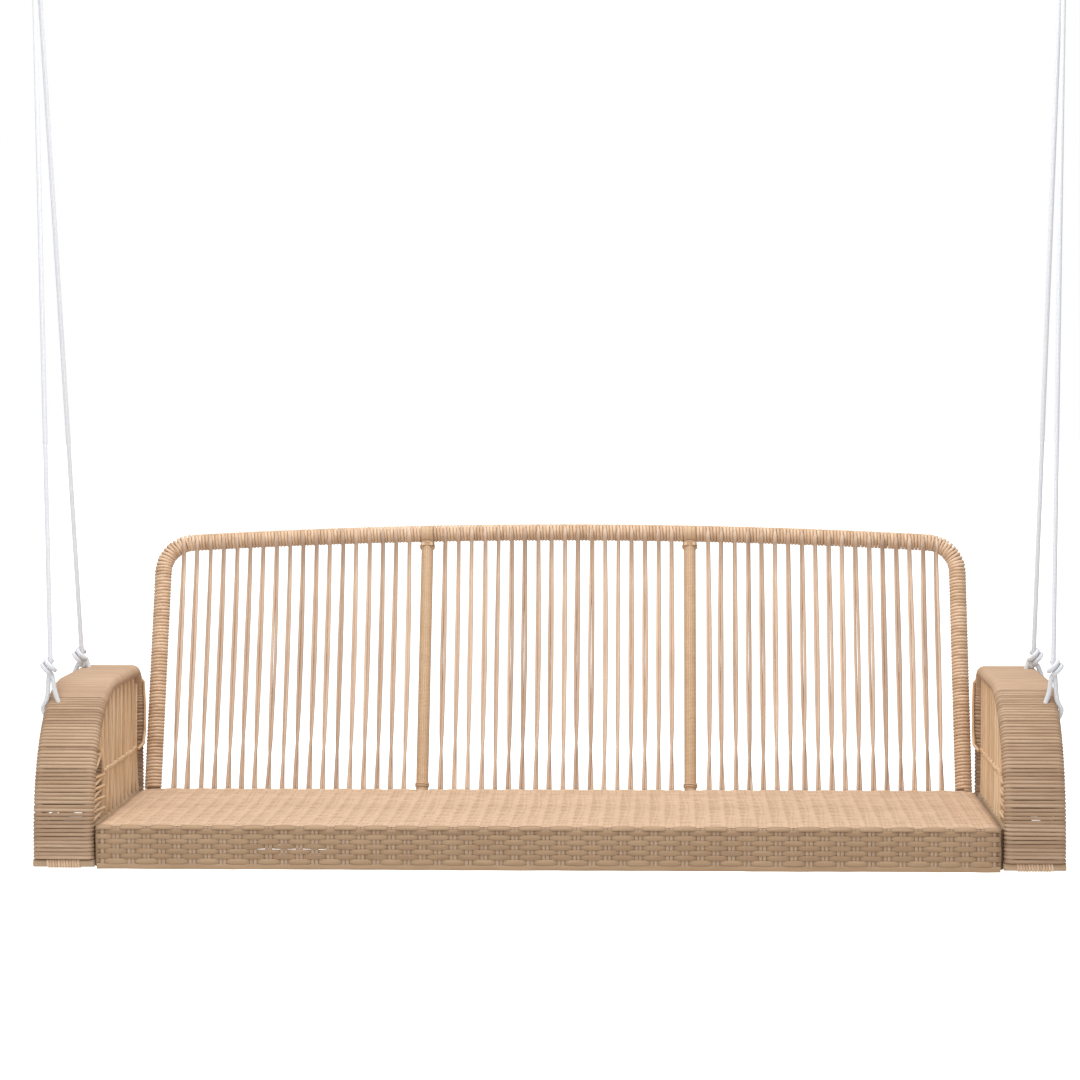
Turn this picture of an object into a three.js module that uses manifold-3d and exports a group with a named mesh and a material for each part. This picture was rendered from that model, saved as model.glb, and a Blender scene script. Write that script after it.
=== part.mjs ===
/**
 * Three-seat hanging porch swing.
 *
 * A welded steel seat frame carries a woven seat and apron. Two bowed arms and a reclined backrest
 * bolt to it. Steel tubes are wound with round cord, and the backrest and the arm sides are laced
 * with upright cord pairs. Four ropes are hitched to the arms and meet, two by two, in a knotted eye
 * that hangs in a snap hook. The seat swings about the line through the two eyes.
 *
 * Millimetres. +X runs along the seat to its right-hand end as seen from the front, +Y to the rear
 * and +Z up. The origin is on the swing axis, over the middle of the seat.
 */
import * as THREE from 'three';
import { mergeVertices } from 'three/addons/utils/BufferGeometryUtils.js';
import Module from 'manifold-3d';

const wasm = await Module();
wasm.setup();

// ---- Driving dimensions ----------------------------------------------------------------------

const GAP = 0.4; // air left between pieces that touch
const CORD = 7; // round cord, diameter
const WALL = 1.5; // steel tube wall
const SIDES = 8; // facets round a tube
const CORNER_STEPS = 5; // stations round a tube's bend
const LOOP_STEPS = 11; // stations round a loop of rope or wire

// Seat
const SEAT_WIDTH = 1814;
const SEAT_DEPTH = 545;
const SEAT_HEIGHT = 88; // top of the weave over the bottom of the apron
const WEAVE = 5; // thickness of the woven skin
const SEAT_TUBE = 25;
const APRON_TUBE = 16;
const APRON_INSET = 16; // apron hoop's upright ends inside the side rails
const APRON_BEND = 24; // bend radius of its lower corners
const SLAT_TUBE = 20;
const SLAT_COUNT = 3;
const RAIL_CLEARANCE = 3; // rear rail to the feet of the backrest's posts
const POST_CLEARANCE = 2; // weave's rear edge to the posts in its notches

// Backrest
const RECLINE = THREE.MathUtils.degToRad(19.3);
const BACK_SETBACK = 8; // backrest plane behind the weave's rear edge, at seat height
const BACK_INSET = 20; // end posts' centre lines inside the seat's sides
const BACK_HEIGHT = 556; // rail's centre line over the seat, along the recline, at its ends
const BACK_CROWN = 28; // rise of the rail's middle over its ends
const BACK_CORNER = 68; // bend radius of the tube
const BACK_TUBE = 25;
const BACK_FOOT = 34; // posts reach this far below the seat surface
const WRAP_FOOT = 4; // and the cord wound on them this far
const LOWER_RAIL_TUBE = 20;
const LOWER_RAIL_DROP = 23.5;
const MID_POST_TUBE = 19;
const MID_WRAP = 4;
const STRAND_PITCH = 29.8;
const STRAND_WIDTH = 12; // one pair of cords, side by side
const STRAND_DEPTH = 9;
const STRAND_HEM = 6; // loops along the ends of the strands

// Arms
const ARM_WIDTH = 126;
const ARM_CLEARANCE = 7; // seat weave to arm
const ARM_HEIGHT = 360;
const ARM_OVERHANG = 65; // arm's rear face behind the weave's rear edge
const ARM_FRONT = 5; // arm's front face behind the apron's face
const ARM_BOW_START = 60; // the front is straight up to here, and bowed above
const ARM_BOW_RUN = 285; // depth of the bowed front
const ARM_REAR_RADIUS = 70;
const HOOP_TUBE = 22;
const SILL_TUBE = 18;
const SIDE_PITCH = 30; // upright cord pairs of the side lacing
const SIDE_STRAND = 12;
const SIDE_DEPTH = 9;
const SIDE_HEM = 6;
const LACING_CLEARANCE = 3; // side lacing and sills to the band round them

// Ropes and hanging hardware
const ROPE = 10;
const ROPE_STEPS = 12;
const ROPE_FRONT_INSET = 155; // front ropes behind the arm's front face
const ROPE_REAR_INSET = 110; // rear ropes in front of its rear face
const HITCH_CLEARANCE = 3.3; // loop of rope to the arm's outer tube inside it, for the facets of both
const HITCH_WRAP = 210; // degrees of the tube that the loop goes round
const HITCH_OFFSET = 3; // knots stand this far outside that tube
const NOTCH_CLEARANCE = 1; // rope to the winding and the lacing on each side of it
const FRONT_KNOT_HEIGHT = 86; // knot's centre over the tube's centre
const REAR_KNOT_HEIGHT = 40;
const HITCH_KNOT = 40; // diameter
const EYE_KNOT_LENGTH = 44; // at least; it reaches down to where its two ropes part
const EYE_KNOT_WIDTH = 32;
const EYE_LOOP = 11; // centre line radius of the rope eye
const EYE_KNOT_OVERLAP = 2; // knot reaches this far into the eye
const ROPE_END = 3; // ropes stop this far below the knot that holds them
const LEFT_SPLAY = 73.5; // hanging point outside the arm's outer tube
const RIGHT_SPLAY = 48.5;
const HANG_Y = 399; // swing axis behind the apron's face, over the centre of mass
const HANG_HEIGHT = 2088;
const HOOK_WIRE = 8;
const HOOK_WIDTH = 42;
const HOOK_HEIGHT = 82;
const GATE_WIRE = 7;
const GATE_SHOULDER = 4; // straight wire left at each end of the gate
const GATE_SLOT = 2; // air at the gate's nose and heel, for its corners as it turns

// Fasteners
const BOLT = 8;
const BOLT_HOLE = 9;
const BOLT_HEAD = 13;
const BOLT_HEAD_HEIGHT = 5.5;
const ARM_BOLT_FRONT_INSET = 112; // from the front rail's centre line
const ARM_BOLT_REAR_INSET = 43; // from the rear rail's centre line
const BACK_BOLT_REACH = 58; // from a post's centre line to its bolt
const BACK_BOLT_STANDOFF = 1; // nut to the lower rail

// ---- Materials ---------------------------------------------------------------------------------

function finish(color, roughness, metalness) {
  return new THREE.MeshStandardMaterial({ color, roughness, metalness });
}

const STEEL = () => finish('#b59a7c', 0.55, 0.4);
const WICKER = () => finish('#c9ab8b', 0.62, 0);
const WOUND = () => finish('#c2a384', 0.6, 0);
const LACING = () => finish('#d2b697', 0.6, 0);
const WHITE_ROPE = () => finish('#eef0f2', 0.75, 0);
const ZINC = () => finish('#b9bcc0', 0.35, 1);

// ---- Solids ------------------------------------------------------------------------------------

const vec = (x, y, z) => new THREE.Vector3(x, y, z);

/** Corners of a regular polygon, with a facet rather than a corner on each axis. */
function polygon(radius, sides, turn = Math.PI / sides) {
  return Array.from({ length: sides }, (_, i) => {
    const angle = turn + (i * 2 * Math.PI) / sides;
    return new THREE.Vector2(radius * Math.cos(angle), radius * Math.sin(angle));
  });
}

/** Corner radius of the polygon that just holds a round of the given radius. */
const around = (radius, sides = SIDES) => radius / Math.cos(Math.PI / sides);

function rod(diameter, sides = SIDES) {
  return new THREE.Shape(polygon(diameter / 2, sides));
}

function pipe(diameter, wall = WALL, sides = SIDES) {
  const section = rod(diameter, sides);
  section.holes.push(new THREE.Path(polygon(diameter / 2 - wall, sides)));
  return section;
}

/** Section of a wound sleeve that holds a tube and leaves a small gap round it. */
function sleeve(tube, thickness, sides = SIDES) {
  const section = rod(tube + 2 * thickness, sides);
  section.holes.push(new THREE.Path(polygon(around(tube / 2 + GAP, sides), sides)));
  return section;
}

/** Corners of a flat section with half-round ends. Its width lies along the section's second axis. */
function roundEnded(width, height, steps = 6) {
  const radius = height / 2;
  const corners = [];
  for (const side of [1, -1]) {
    const centre = side * (width / 2 - radius);
    for (let i = 0; i <= steps; i += 1) {
      const angle = (side > 0 ? 0 : Math.PI) + (i * Math.PI) / steps;
      corners.push(new THREE.Vector2(radius * Math.cos(angle), centre + radius * Math.sin(angle)));
    }
  }
  return corners;
}

/** A path with one station at each of its points, so straight lengths cost a single step. */
class Route extends THREE.Curve {
  constructor(points) {
    super();
    this.points = points;
  }

  station(u) {
    return Math.round(u * (this.points.length - 1));
  }

  getPoint(u) {
    return this.points[this.station(u)].clone();
  }

  getPointAt(u) {
    return this.getPoint(u);
  }

  getTangentAt(u) {
    const here = this.station(u);
    const last = this.points.length - 1;
    const ahead = this.points[Math.min(here + 1, last)].clone();
    const behind = this.points[Math.max(here - 1, 0)];
    const arriving = this.points[here].clone().sub(behind).normalize();
    const leaving = ahead.sub(this.points[here]).normalize();
    return arriving.add(leaving).normalize();
  }
}

function sweep(section, points) {
  const extrudePath = new Route(points);
  return new THREE.ExtrudeGeometry(section, { steps: points.length - 1, extrudePath });
}

function plate(outline, depth) {
  return new THREE.ExtrudeGeometry(new THREE.Shape(outline), { depth, steps: 1, bevelEnabled: false });
}

/** A cutter for a rectangular slot through a plate. */
function slotCutter(x0, y0, x1, y1, thickness) {
  const block = new THREE.BoxGeometry(x1 - x0, y1 - y0, 3 * thickness);
  return block.translate((x0 + x1) / 2, (y0 + y1) / 2, thickness / 2);
}

function toSolid(geometry) {
  const bare = geometry.clone();
  bare.deleteAttribute('normal');
  bare.deleteAttribute('uv');
  const merged = mergeVertices(bare, 1e-4);
  const vertProperties = new Float32Array(merged.attributes.position.array);
  const triVerts = new Uint32Array(merged.index.array);
  return new wasm.Manifold(new wasm.Mesh({ numProp: 3, vertProperties, triVerts }));
}

function toGeometry(solid) {
  const { vertProperties, triVerts } = solid.getMesh();
  const geometry = new THREE.BufferGeometry();
  geometry.setAttribute('position', new THREE.BufferAttribute(vertProperties, 3));
  geometry.setIndex(new THREE.BufferAttribute(triVerts, 1));
  geometry.computeVertexNormals();
  return geometry;
}

const cut = (geometry, tools) =>
  toGeometry(tools.reduce((left, tool) => left.subtract(toSolid(tool)), toSolid(geometry)));
const join = (geometry, others) =>
  toGeometry(others.reduce((left, other) => left.add(toSolid(other)), toSolid(geometry)));

/** A cutter for a bolt hole through both walls of a tube, lying along Y. */
function bit() {
  const radius = around(BOLT_HOLE / 2);
  return new THREE.CylinderGeometry(radius, radius, 3 * SEAT_TUBE, SIDES);
}

const drillAcross = (x, y, z) => bit().rotateZ(Math.PI / 2).translate(x, y, z);
const drillBack = (x, y, z) => bit().translate(x, y, z);

/** A piece of the swing: its solid, its finish and its name. */
function piece(name, geometry, material) {
  const mesh = new THREE.Mesh(geometry, material);
  mesh.name = name;
  return mesh;
}

/** Points of an elliptical bend from one angle to another, both ends included. */
function bend(centre, radiusA, radiusB, from, to, steps, place) {
  return Array.from({ length: steps + 1 }, (_, i) => {
    const angle = THREE.MathUtils.degToRad(from + ((to - from) * i) / steps);
    return place(centre[0] + radiusA * Math.cos(angle), centre[1] + radiusB * Math.sin(angle));
  });
}

const swing = new THREE.Group();
const seatFrameOrigin = vec(0, -HANG_Y, -HANG_HEIGHT);

// ---- Seat --------------------------------------------------------------------------------------

const backPlaneY = (z) => SEAT_DEPTH + BACK_SETBACK + (z - SEAT_HEIGHT) * Math.tan(RECLINE);
const postX = SEAT_WIDTH / 2 - BACK_INSET;
const backWrap = BACK_TUBE / 2 + CORD;
const midWrap = MID_POST_TUBE / 2 + MID_WRAP;
// The two middle posts divide the backrest into three bays of equal clear width.
const bayWidth = (2 * (postX - backWrap) - 4 * midWrap) / 3;
const midX = bayWidth / 2 + midWrap;

const railZ = SEAT_HEIGHT - WEAVE - GAP - SEAT_TUBE / 2;
const frontRailY = WEAVE + GAP + SEAT_TUBE / 2;
const postFrontY =
  backPlaneY(SEAT_HEIGHT - BACK_FOOT * Math.cos(RECLINE)) - BACK_TUBE / 2 / Math.cos(RECLINE);
const rearRailY = postFrontY - RAIL_CLEARANCE - SEAT_TUBE / 2;
const sideRailX = SEAT_WIDTH / 2 - SEAT_TUBE / 2;
const armBoltY = { front: frontRailY + ARM_BOLT_FRONT_INSET, rear: rearRailY - ARM_BOLT_REAR_INSET };
const boltsRightX = [midX + BACK_BOLT_REACH, postX - BACK_BOLT_REACH];
const backBoltsX = [...boltsRightX.map((x) => -x).reverse(), ...boltsRightX];
const lowerRailZ = SEAT_HEIGHT - LOWER_RAIL_DROP * Math.cos(RECLINE);
const lowerRailY = backPlaneY(lowerRailZ);
const backBoltZ = (railZ + lowerRailZ) / 2;

function buildSeat() {
  const seat = new THREE.Group();
  const half = SEAT_WIDTH / 2;
  const railStart = frontRailY + SEAT_TUBE / 2 + GAP;
  const railEnd = rearRailY - SEAT_TUBE / 2 - GAP;

  const front = sweep(pipe(SEAT_TUBE), [vec(-half, frontRailY, railZ), vec(half, frontRailY, railZ)]);
  seat.add(piece('seat_front_rail', front, STEEL()));

  const rear = sweep(pipe(SEAT_TUBE), [vec(-half, rearRailY, railZ), vec(half, rearRailY, railZ)]);
  const rearHoles = backBoltsX.map((x) => drillBack(x, rearRailY, backBoltZ));
  seat.add(piece('seat_rear_rail', cut(rear, rearHoles), STEEL()));

  for (const [side, sign] of [['left', -1], ['right', 1]]) {
    const x = sign * sideRailX;
    const rail = sweep(pipe(SEAT_TUBE), [vec(x, railStart, railZ), vec(x, railEnd, railZ)]);
    const holes = Object.values(armBoltY).map((y) => drillAcross(x, y, railZ));
    seat.add(piece(`seat_side_rail_${side}`, cut(rail, holes), STEEL()));
  }

  const slatZ = SEAT_HEIGHT - WEAVE - GAP - SLAT_TUBE / 2;
  for (let i = 0; i < SLAT_COUNT; i += 1) {
    const x = ((i + 1) / (SLAT_COUNT + 1) - 1 / 2) * SEAT_WIDTH;
    const slat = sweep(pipe(SLAT_TUBE), [vec(x, railStart, slatZ), vec(x, railEnd, slatZ)]);
    seat.add(piece(`seat_slat_${i + 1}`, slat, STEEL()));
  }

  const apronY = WEAVE + GAP + APRON_TUBE / 2;
  const apronX = SEAT_WIDTH / 2 - SEAT_TUBE - APRON_INSET;
  const apronZ = APRON_TUBE / 2 + GAP;
  const bendX = apronX - APRON_BEND;
  const apronTop = railZ - SEAT_TUBE / 2 - GAP;
  const corner = (sign, from, to) =>
    bend([bendX, apronZ + APRON_BEND], APRON_BEND, APRON_BEND, from, to, CORNER_STEPS, (x, z) =>
      vec(sign * x, apronY, z));
  const apronRoute = [
    vec(-apronX, apronY, apronTop),
    ...corner(-1, 0, -90),
    ...corner(1, -90, 0),
    vec(apronX, apronY, apronTop),
  ];
  seat.add(piece('apron_hoop', sweep(pipe(APRON_TUBE), apronRoute), STEEL()));

  // The woven top, notched at its rear edge for the four posts of the backrest.
  const notchY = (radius) => backPlaneY(SEAT_HEIGHT) - (radius + POST_CLEARANCE) / Math.cos(RECLINE);
  const endNotchX = postX - backWrap - POST_CLEARANCE;
  const endNotchY = notchY(backWrap);
  const midNotch = midWrap + POST_CLEARANCE;
  const rearEdge = [
    [endNotchX, endNotchY],
    [endNotchX, SEAT_DEPTH],
    [midX + midNotch, SEAT_DEPTH],
    [midX + midNotch, notchY(midWrap)],
    [midX - midNotch, notchY(midWrap)],
    [midX - midNotch, SEAT_DEPTH],
  ];
  const outline = [
    [-half, 0],
    [half, 0],
    [half, endNotchY],
    ...rearEdge,
    ...rearEdge.map(([x, y]) => [-x, y]).reverse(),
    [-half, endNotchY],
  ].map(([x, y]) => new THREE.Vector2(x, y));
  const top = plate(outline, WEAVE).translate(0, 0, SEAT_HEIGHT - WEAVE);
  seat.add(piece('seat_weave', top, WICKER()));

  const apron = new THREE.BoxGeometry(SEAT_WIDTH, WEAVE, SEAT_HEIGHT - WEAVE - GAP);
  apron.translate(0, WEAVE / 2, (SEAT_HEIGHT - WEAVE - GAP) / 2);
  seat.add(piece('apron_weave', apron, WICKER()));
  return seat;
}

// ---- Backrest ----------------------------------------------------------------------------------
// Built upright in its own group, X across and Z along the recline, with Z = 0 at the seat surface.

const crownRadius = (postX * postX + BACK_CROWN * BACK_CROWN) / (2 * BACK_CROWN);
const railCentre = (x) =>
  BACK_HEIGHT + Math.sqrt(crownRadius * crownRadius - x * x) - (crownRadius - BACK_CROWN);
const shoulderX = postX - BACK_CORNER;
const shoulderZ = railCentre(shoulderX) - BACK_CORNER;

/** Height of the wound rail's underside, down into the bends at its ends. */
function railUnderside(x) {
  const inside = BACK_CORNER - backWrap;
  const past = Math.max(0, Math.abs(x) - shoulderX);
  return past > 0 ? shoulderZ + Math.sqrt(inside * inside - past * past) : railCentre(x) - backWrap;
}

/** Centre line of the bent back tube, from one foot over the crowned rail to the other. */
function backRoute(foot) {
  const lean = THREE.MathUtils.radToDeg(Math.asin(shoulderX / crownRadius));
  const place = (x, z) => vec(x, 0, z);
  const centre = [shoulderX, shoulderZ];
  const corner = bend(centre, BACK_CORNER, BACK_CORNER, 0, 90 - lean, CORNER_STEPS, place);
  const crownSteps = 4;
  const crown = Array.from({ length: crownSteps }, (_, i) => {
    const x = (shoulderX * (crownSteps - 1 - i)) / crownSteps;
    return vec(x, 0, railCentre(x));
  });
  const half = [vec(postX, 0, foot), ...corner, ...crown];
  const mirrored = half.slice(0, -1).map((point) => vec(-point.x, 0, point.z));
  return [...mirrored, ...half.reverse()];
}

const strandCount = Math.floor(bayWidth / STRAND_PITCH);
const postsFoot = LOWER_RAIL_TUBE / 2 - LOWER_RAIL_DROP + GAP;
const railGap = 4 * GAP; // strands and middle posts to the facets of the rail above

/** One bay of upright cord pairs, hemmed by its loops at the rail above and the rail below. */
function strandBay(middle) {
  const foot = postsFoot;
  const head = (x) => railUnderside(x) - railGap;
  const firstX = middle - ((strandCount - 1) * STRAND_PITCH) / 2;
  const left = firstX - STRAND_WIDTH / 2;
  const right = 2 * middle - left;
  const top = Array.from({ length: strandCount + 1 }, (_, i) => {
    const x = right + ((left - right) * i) / strandCount;
    return new THREE.Vector2(x, head(x));
  });
  const outline = [new THREE.Vector2(left, foot), new THREE.Vector2(right, foot), ...top];
  const slots = Array.from({ length: strandCount - 1 }, (_, i) => {
    const x0 = firstX + i * STRAND_PITCH + STRAND_WIDTH / 2;
    const x1 = x0 + STRAND_PITCH - STRAND_WIDTH;
    const slotHead = Math.min(head(x0), head(x1)) - STRAND_HEM;
    return slotCutter(x0, foot + STRAND_HEM, x1, slotHead, STRAND_DEPTH);
  });
  // The plate is drawn in X and Y and stood up, so that its thickness is centred on the plane.
  const comb = cut(plate(outline, STRAND_DEPTH), slots);
  return comb.rotateX(Math.PI / 2).translate(0, STRAND_DEPTH / 2, 0);
}

function buildBack() {
  const back = new THREE.Group();
  back.position.set(0, SEAT_DEPTH + BACK_SETBACK, SEAT_HEIGHT);
  back.rotation.x = -RECLINE;

  const tube = sweep(pipe(BACK_TUBE), backRoute(-BACK_FOOT));
  back.add(piece('back_frame_tube', tube, STEEL()));
  const wound = sweep(sleeve(BACK_TUBE, CORD), backRoute(-WRAP_FOOT));
  back.add(piece('back_frame_wrap', wound, WOUND()));

  const railHalf = postX - BACK_TUBE / 2 - GAP;
  const lower = sweep(pipe(LOWER_RAIL_TUBE), [
    vec(-railHalf, 0, -LOWER_RAIL_DROP),
    vec(railHalf, 0, -LOWER_RAIL_DROP),
  ]);
  // The bolts lie level, so they cross the leaning backrest at the recline angle.
  const drop = (backBoltZ - SEAT_HEIGHT) / Math.cos(RECLINE);
  const holes = backBoltsX.map((x) => bit().rotateX(RECLINE).translate(x, 0, drop));
  back.add(piece('back_lower_rail', cut(lower, holes), STEEL()));

  const midHead = railCentre(midX) - backWrap - railGap;
  for (const [side, sign] of [['left', -1], ['right', 1]]) {
    const ends = [vec(sign * midX, 0, postsFoot), vec(sign * midX, 0, midHead)];
    back.add(piece(`back_mid_post_${side}`, sweep(pipe(MID_POST_TUBE), ends), STEEL()));
    back.add(piece(`back_mid_wrap_${side}`, sweep(sleeve(MID_POST_TUBE, MID_WRAP), ends), WOUND()));
  }

  const sideBayX = bayWidth + 2 * midWrap;
  for (const [place, middle] of [['left', -sideBayX], ['centre', 0], ['right', sideBayX]]) {
    back.add(piece(`back_strands_${place}`, strandBay(middle), LACING()));
  }
  return back;
}

// ---- Arms --------------------------------------------------------------------------------------

const armInnerX = SEAT_WIDTH / 2 + ARM_CLEARANCE;
const armMiddleX = armInnerX + ARM_WIDTH / 2;
const armRear = SEAT_DEPTH + ARM_OVERHANG;
const bowRise = ARM_HEIGHT - ARM_BOW_START;
const bandDepth = HOOP_TUBE + CORD; // the cord lies half its thickness deep between the tubes
const hoopInset = bandDepth / 2;
const innerHoopX = armInnerX + hoopInset;
const outerHoopX = armInnerX + ARM_WIDTH - hoopInset;

/** Outline of an arm seen from the side, lying a given distance inside its outer surface. */
function armProfile(inset, foot, place, bowSteps = 6) {
  const bowCentre = [ARM_FRONT + ARM_BOW_RUN, ARM_BOW_START];
  const rearCentre = [armRear - ARM_REAR_RADIUS, ARM_HEIGHT - ARM_REAR_RADIUS];
  const rearRadius = ARM_REAR_RADIUS - inset;
  const run = ARM_BOW_RUN - inset;
  const rise = bowRise - inset;
  // Below the bow the front runs straight down; a foot above its start cuts the bow short.
  const straight = foot < ARM_BOW_START ? [place(bowCentre[0] - run, foot)] : [];
  const footAngle = Math.asin(Math.max(0, foot - ARM_BOW_START) / rise);
  const bowStart = 180 - THREE.MathUtils.radToDeg(footAngle);
  return [
    ...straight,
    ...bend(bowCentre, run, rise, bowStart, 90, bowSteps, place),
    ...bend(rearCentre, rearRadius, rearRadius, 90, 0, CORNER_STEPS, place),
    place(rearCentre[0] + rearRadius, foot),
  ];
}

/** Height of the bow, and of the level top behind it, a given distance inside its outer surface. */
function bowHeight(y, inset) {
  const ahead = Math.max(0, ARM_FRONT + ARM_BOW_RUN - y) / (ARM_BOW_RUN - inset);
  return ARM_BOW_START + (bowRise - inset) * Math.sqrt(Math.max(0, 1 - ahead ** 2));
}

const hoopHeight = (y) => bowHeight(y, hoopInset);

// The gaps between the upright cord pairs of the side lacing, from the front pair to the rear one.
const lacingInset = bandDepth + LACING_CLEARANCE;
const lacingFront = ARM_FRONT + lacingInset;
const lacingRear = armRear - lacingInset;
const gapCount = Math.floor((lacingRear - lacingFront - SIDE_STRAND) / SIDE_PITCH);
const gapWidth = SIDE_PITCH - SIDE_STRAND;
const firstGap = (lacingFront + lacingRear - gapCount * SIDE_PITCH + SIDE_STRAND) / 2;
const gaps = Array.from({ length: gapCount }, (_, i) => firstGap + i * SIDE_PITCH);

/** A rope passes the lacing midway between two cord pairs: the gap nearest to where it is wanted. */
function nearestGap(y) {
  const middles = gaps.map((start) => start + gapWidth / 2);
  return middles.reduce((best, middle) => (Math.abs(middle - y) < Math.abs(best - y) ? middle : best));
}

const ropeY = {
  front: nearestGap(ARM_FRONT + ROPE_FRONT_INSET),
  rear: nearestGap(armRear - ROPE_REAR_INSET),
};
const hitchLoop = HOOP_TUBE / 2 + HITCH_CLEARANCE + ROPE / 2; // the loop of rope's centre line, across
const notchWidth = ROPE + 2 * NOTCH_CLEARANCE;

/** How steeply the arm's tubes rise at a place along the arm. */
function hoopSlope(y) {
  const run = ARM_BOW_RUN - hoopInset;
  const ahead = Math.max(0, ARM_FRONT + ARM_BOW_RUN - y) / run;
  return ((bowRise - hoopInset) / run) * (ahead / Math.sqrt(1 - ahead ** 2));
}

/** Upright radius of the loop's centre line: a sloping tube is taller where a level loop crosses it. */
function hitchRise(y) {
  const slope = hoopSlope(y);
  const tube = (HOOP_TUBE / 2) * Math.sqrt(1 + slope ** 2);
  return tube + (slope * ROPE) / 2 + HITCH_CLEARANCE + ROPE / 2;
}

/** Cutters for the places where the wound band and the lacing part round each rope. */
function ropeNotches(sign) {
  const margin = ROPE / 2 + GAP;
  return Object.values(ropeY).map((y) => {
    const height = 2 * (hitchRise(y) + margin);
    const block = new THREE.BoxGeometry(2 * (hitchLoop + margin), notchWidth, height);
    return block.translate(sign * outerHoopX, y, hoopHeight(y));
  });
}

/** Upright cord pairs between a hoop and its sill. */
function sideLacing(x, notches) {
  const foot = railZ + SILL_TUBE / 2 + GAP;
  const outline = armProfile(lacingInset, foot, (y, z) => new THREE.Vector2(y, z));
  const corner = ARM_REAR_RADIUS - lacingInset;
  const ceiling = (y) => {
    const behind = Math.max(0, y - (lacingRear - corner));
    const rounded = ARM_HEIGHT - ARM_REAR_RADIUS + Math.sqrt(Math.max(0, corner ** 2 - behind ** 2));
    return Math.min(bowHeight(y, lacingInset), rounded);
  };
  const slots = gaps
    .map((y0) => [y0, y0 + gapWidth])
    .map(([y0, y1]) => [y0, y1, Math.min(ceiling(y0), ceiling(y1)) - SIDE_HEM])
    .map(([y0, y1, head]) => slotCutter(y0, foot + SIDE_HEM, y1, head, SIDE_DEPTH));
  // The plate is drawn in Y and Z and turned to stand across X.
  const panel = cut(plate(outline, SIDE_DEPTH), slots);
  panel.applyMatrix4(new THREE.Matrix4().makeBasis(vec(0, 1, 0), vec(0, 0, 1), vec(1, 0, 0)));
  return cut(panel.translate(x - SIDE_DEPTH / 2, 0, 0), notches);
}

function buildArm(side, sign) {
  const arm = new THREE.Group();
  const alongX = (x) => (y, z) => vec(sign * x, y, z);
  const bandSection = new THREE.Shape(roundEnded(ARM_WIDTH, bandDepth));
  const cavity = roundEnded(ARM_WIDTH - CORD + 4 * GAP, bandDepth - CORD + 4 * GAP);
  bandSection.holes.push(new THREE.Path(cavity));

  const band = sweep(bandSection, armProfile(hoopInset, SILL_TUBE + 2 * GAP, alongX(armMiddleX)));
  arm.add(piece(`arm_${side}_wrap`, cut(band, ropeNotches(sign)), WOUND()));

  for (const [face, x] of [['inner', innerHoopX], ['outer', outerHoopX]]) {
    const hoop = sweep(pipe(HOOP_TUBE), armProfile(hoopInset, SILL_TUBE + GAP, alongX(x)));
    const sill = sweep(pipe(SILL_TUBE), [
      vec(sign * x, lacingFront, railZ),
      vec(sign * x, lacingRear, railZ),
    ]);
    const boltsY = face === 'inner' ? Object.values(armBoltY) : [];
    const holes = boltsY.map((y) => drillAcross(sign * x, y, railZ));
    arm.add(piece(`arm_${side}_${face}_hoop`, hoop, STEEL()));
    arm.add(piece(`arm_${side}_${face}_sill`, cut(sill, holes), STEEL()));
    const notches = face === 'outer' ? ropeNotches(sign) : [];
    arm.add(piece(`arm_${side}_${face}_lacing`, sideLacing(sign * x, notches), LACING()));
  }

  const footY = { front: ARM_FRONT + hoopInset, rear: armRear - hoopInset };
  for (const [end, y] of Object.entries(footY)) {
    const foot = sweep(rod(SILL_TUBE), [
      vec(sign * armInnerX, y, SILL_TUBE / 2),
      vec(sign * (armInnerX + ARM_WIDTH), y, SILL_TUBE / 2),
    ]);
    arm.add(piece(`arm_${side}_${end}_foot`, foot, WOUND()));
  }
  return arm;
}

// ---- Ropes -------------------------------------------------------------------------------------

/** Where a rope's knot sits over the arm's outer tube, and where the rope leaves it. */
function hitchPlace(sign, y, knotHeight) {
  return vec(sign * (outerHoopX + HITCH_OFFSET), y, hoopHeight(y) + knotHeight);
}

/** A loop of rope round the arm's outer tube, closed by a knot above it. */
function hitch(sign, y, knotHeight) {
  const knot = hitchPlace(sign, y, knotHeight);
  const place = (x, z) => vec(sign * x, y, z);
  const lift = (HITCH_WRAP - 180) / 2;
  const centre = [outerHoopX, hoopHeight(y)];
  const loop = bend(centre, hitchLoop, hitchRise(y), lift, -180 - lift, LOOP_STEPS, place);
  const throat = knot.clone().sub(vec(0, 0, HITCH_KNOT / 4));
  const route = [throat, ...loop, throat.clone()];
  const lump = new THREE.SphereGeometry(HITCH_KNOT / 2, 10, 7).translate(knot.x, knot.y, knot.z);
  return join(lump, [sweep(rod(ROPE), route)]);
}

/** The rope eye that turns on a snap hook's lower bend, with the knot below it. */
function topEye(x, knotLength) {
  const knotZ = HANG_HEIGHT - EYE_LOOP - ROPE / 2 - knotLength / 2;
  const ring = new THREE.TorusGeometry(EYE_LOOP, ROPE / 2, SIDES, 16).rotateY(Math.PI / 2);
  ring.translate(x, HANG_Y, HANG_HEIGHT);
  const lump = new THREE.SphereGeometry(1, 10, 8).rotateX(Math.PI / 2);
  lump.scale(EYE_KNOT_WIDTH / 2, EYE_KNOT_WIDTH / 2, knotLength / 2 + EYE_KNOT_OVERLAP);
  lump.translate(x, HANG_Y, knotZ);
  return join(lump, [ring]);
}

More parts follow.
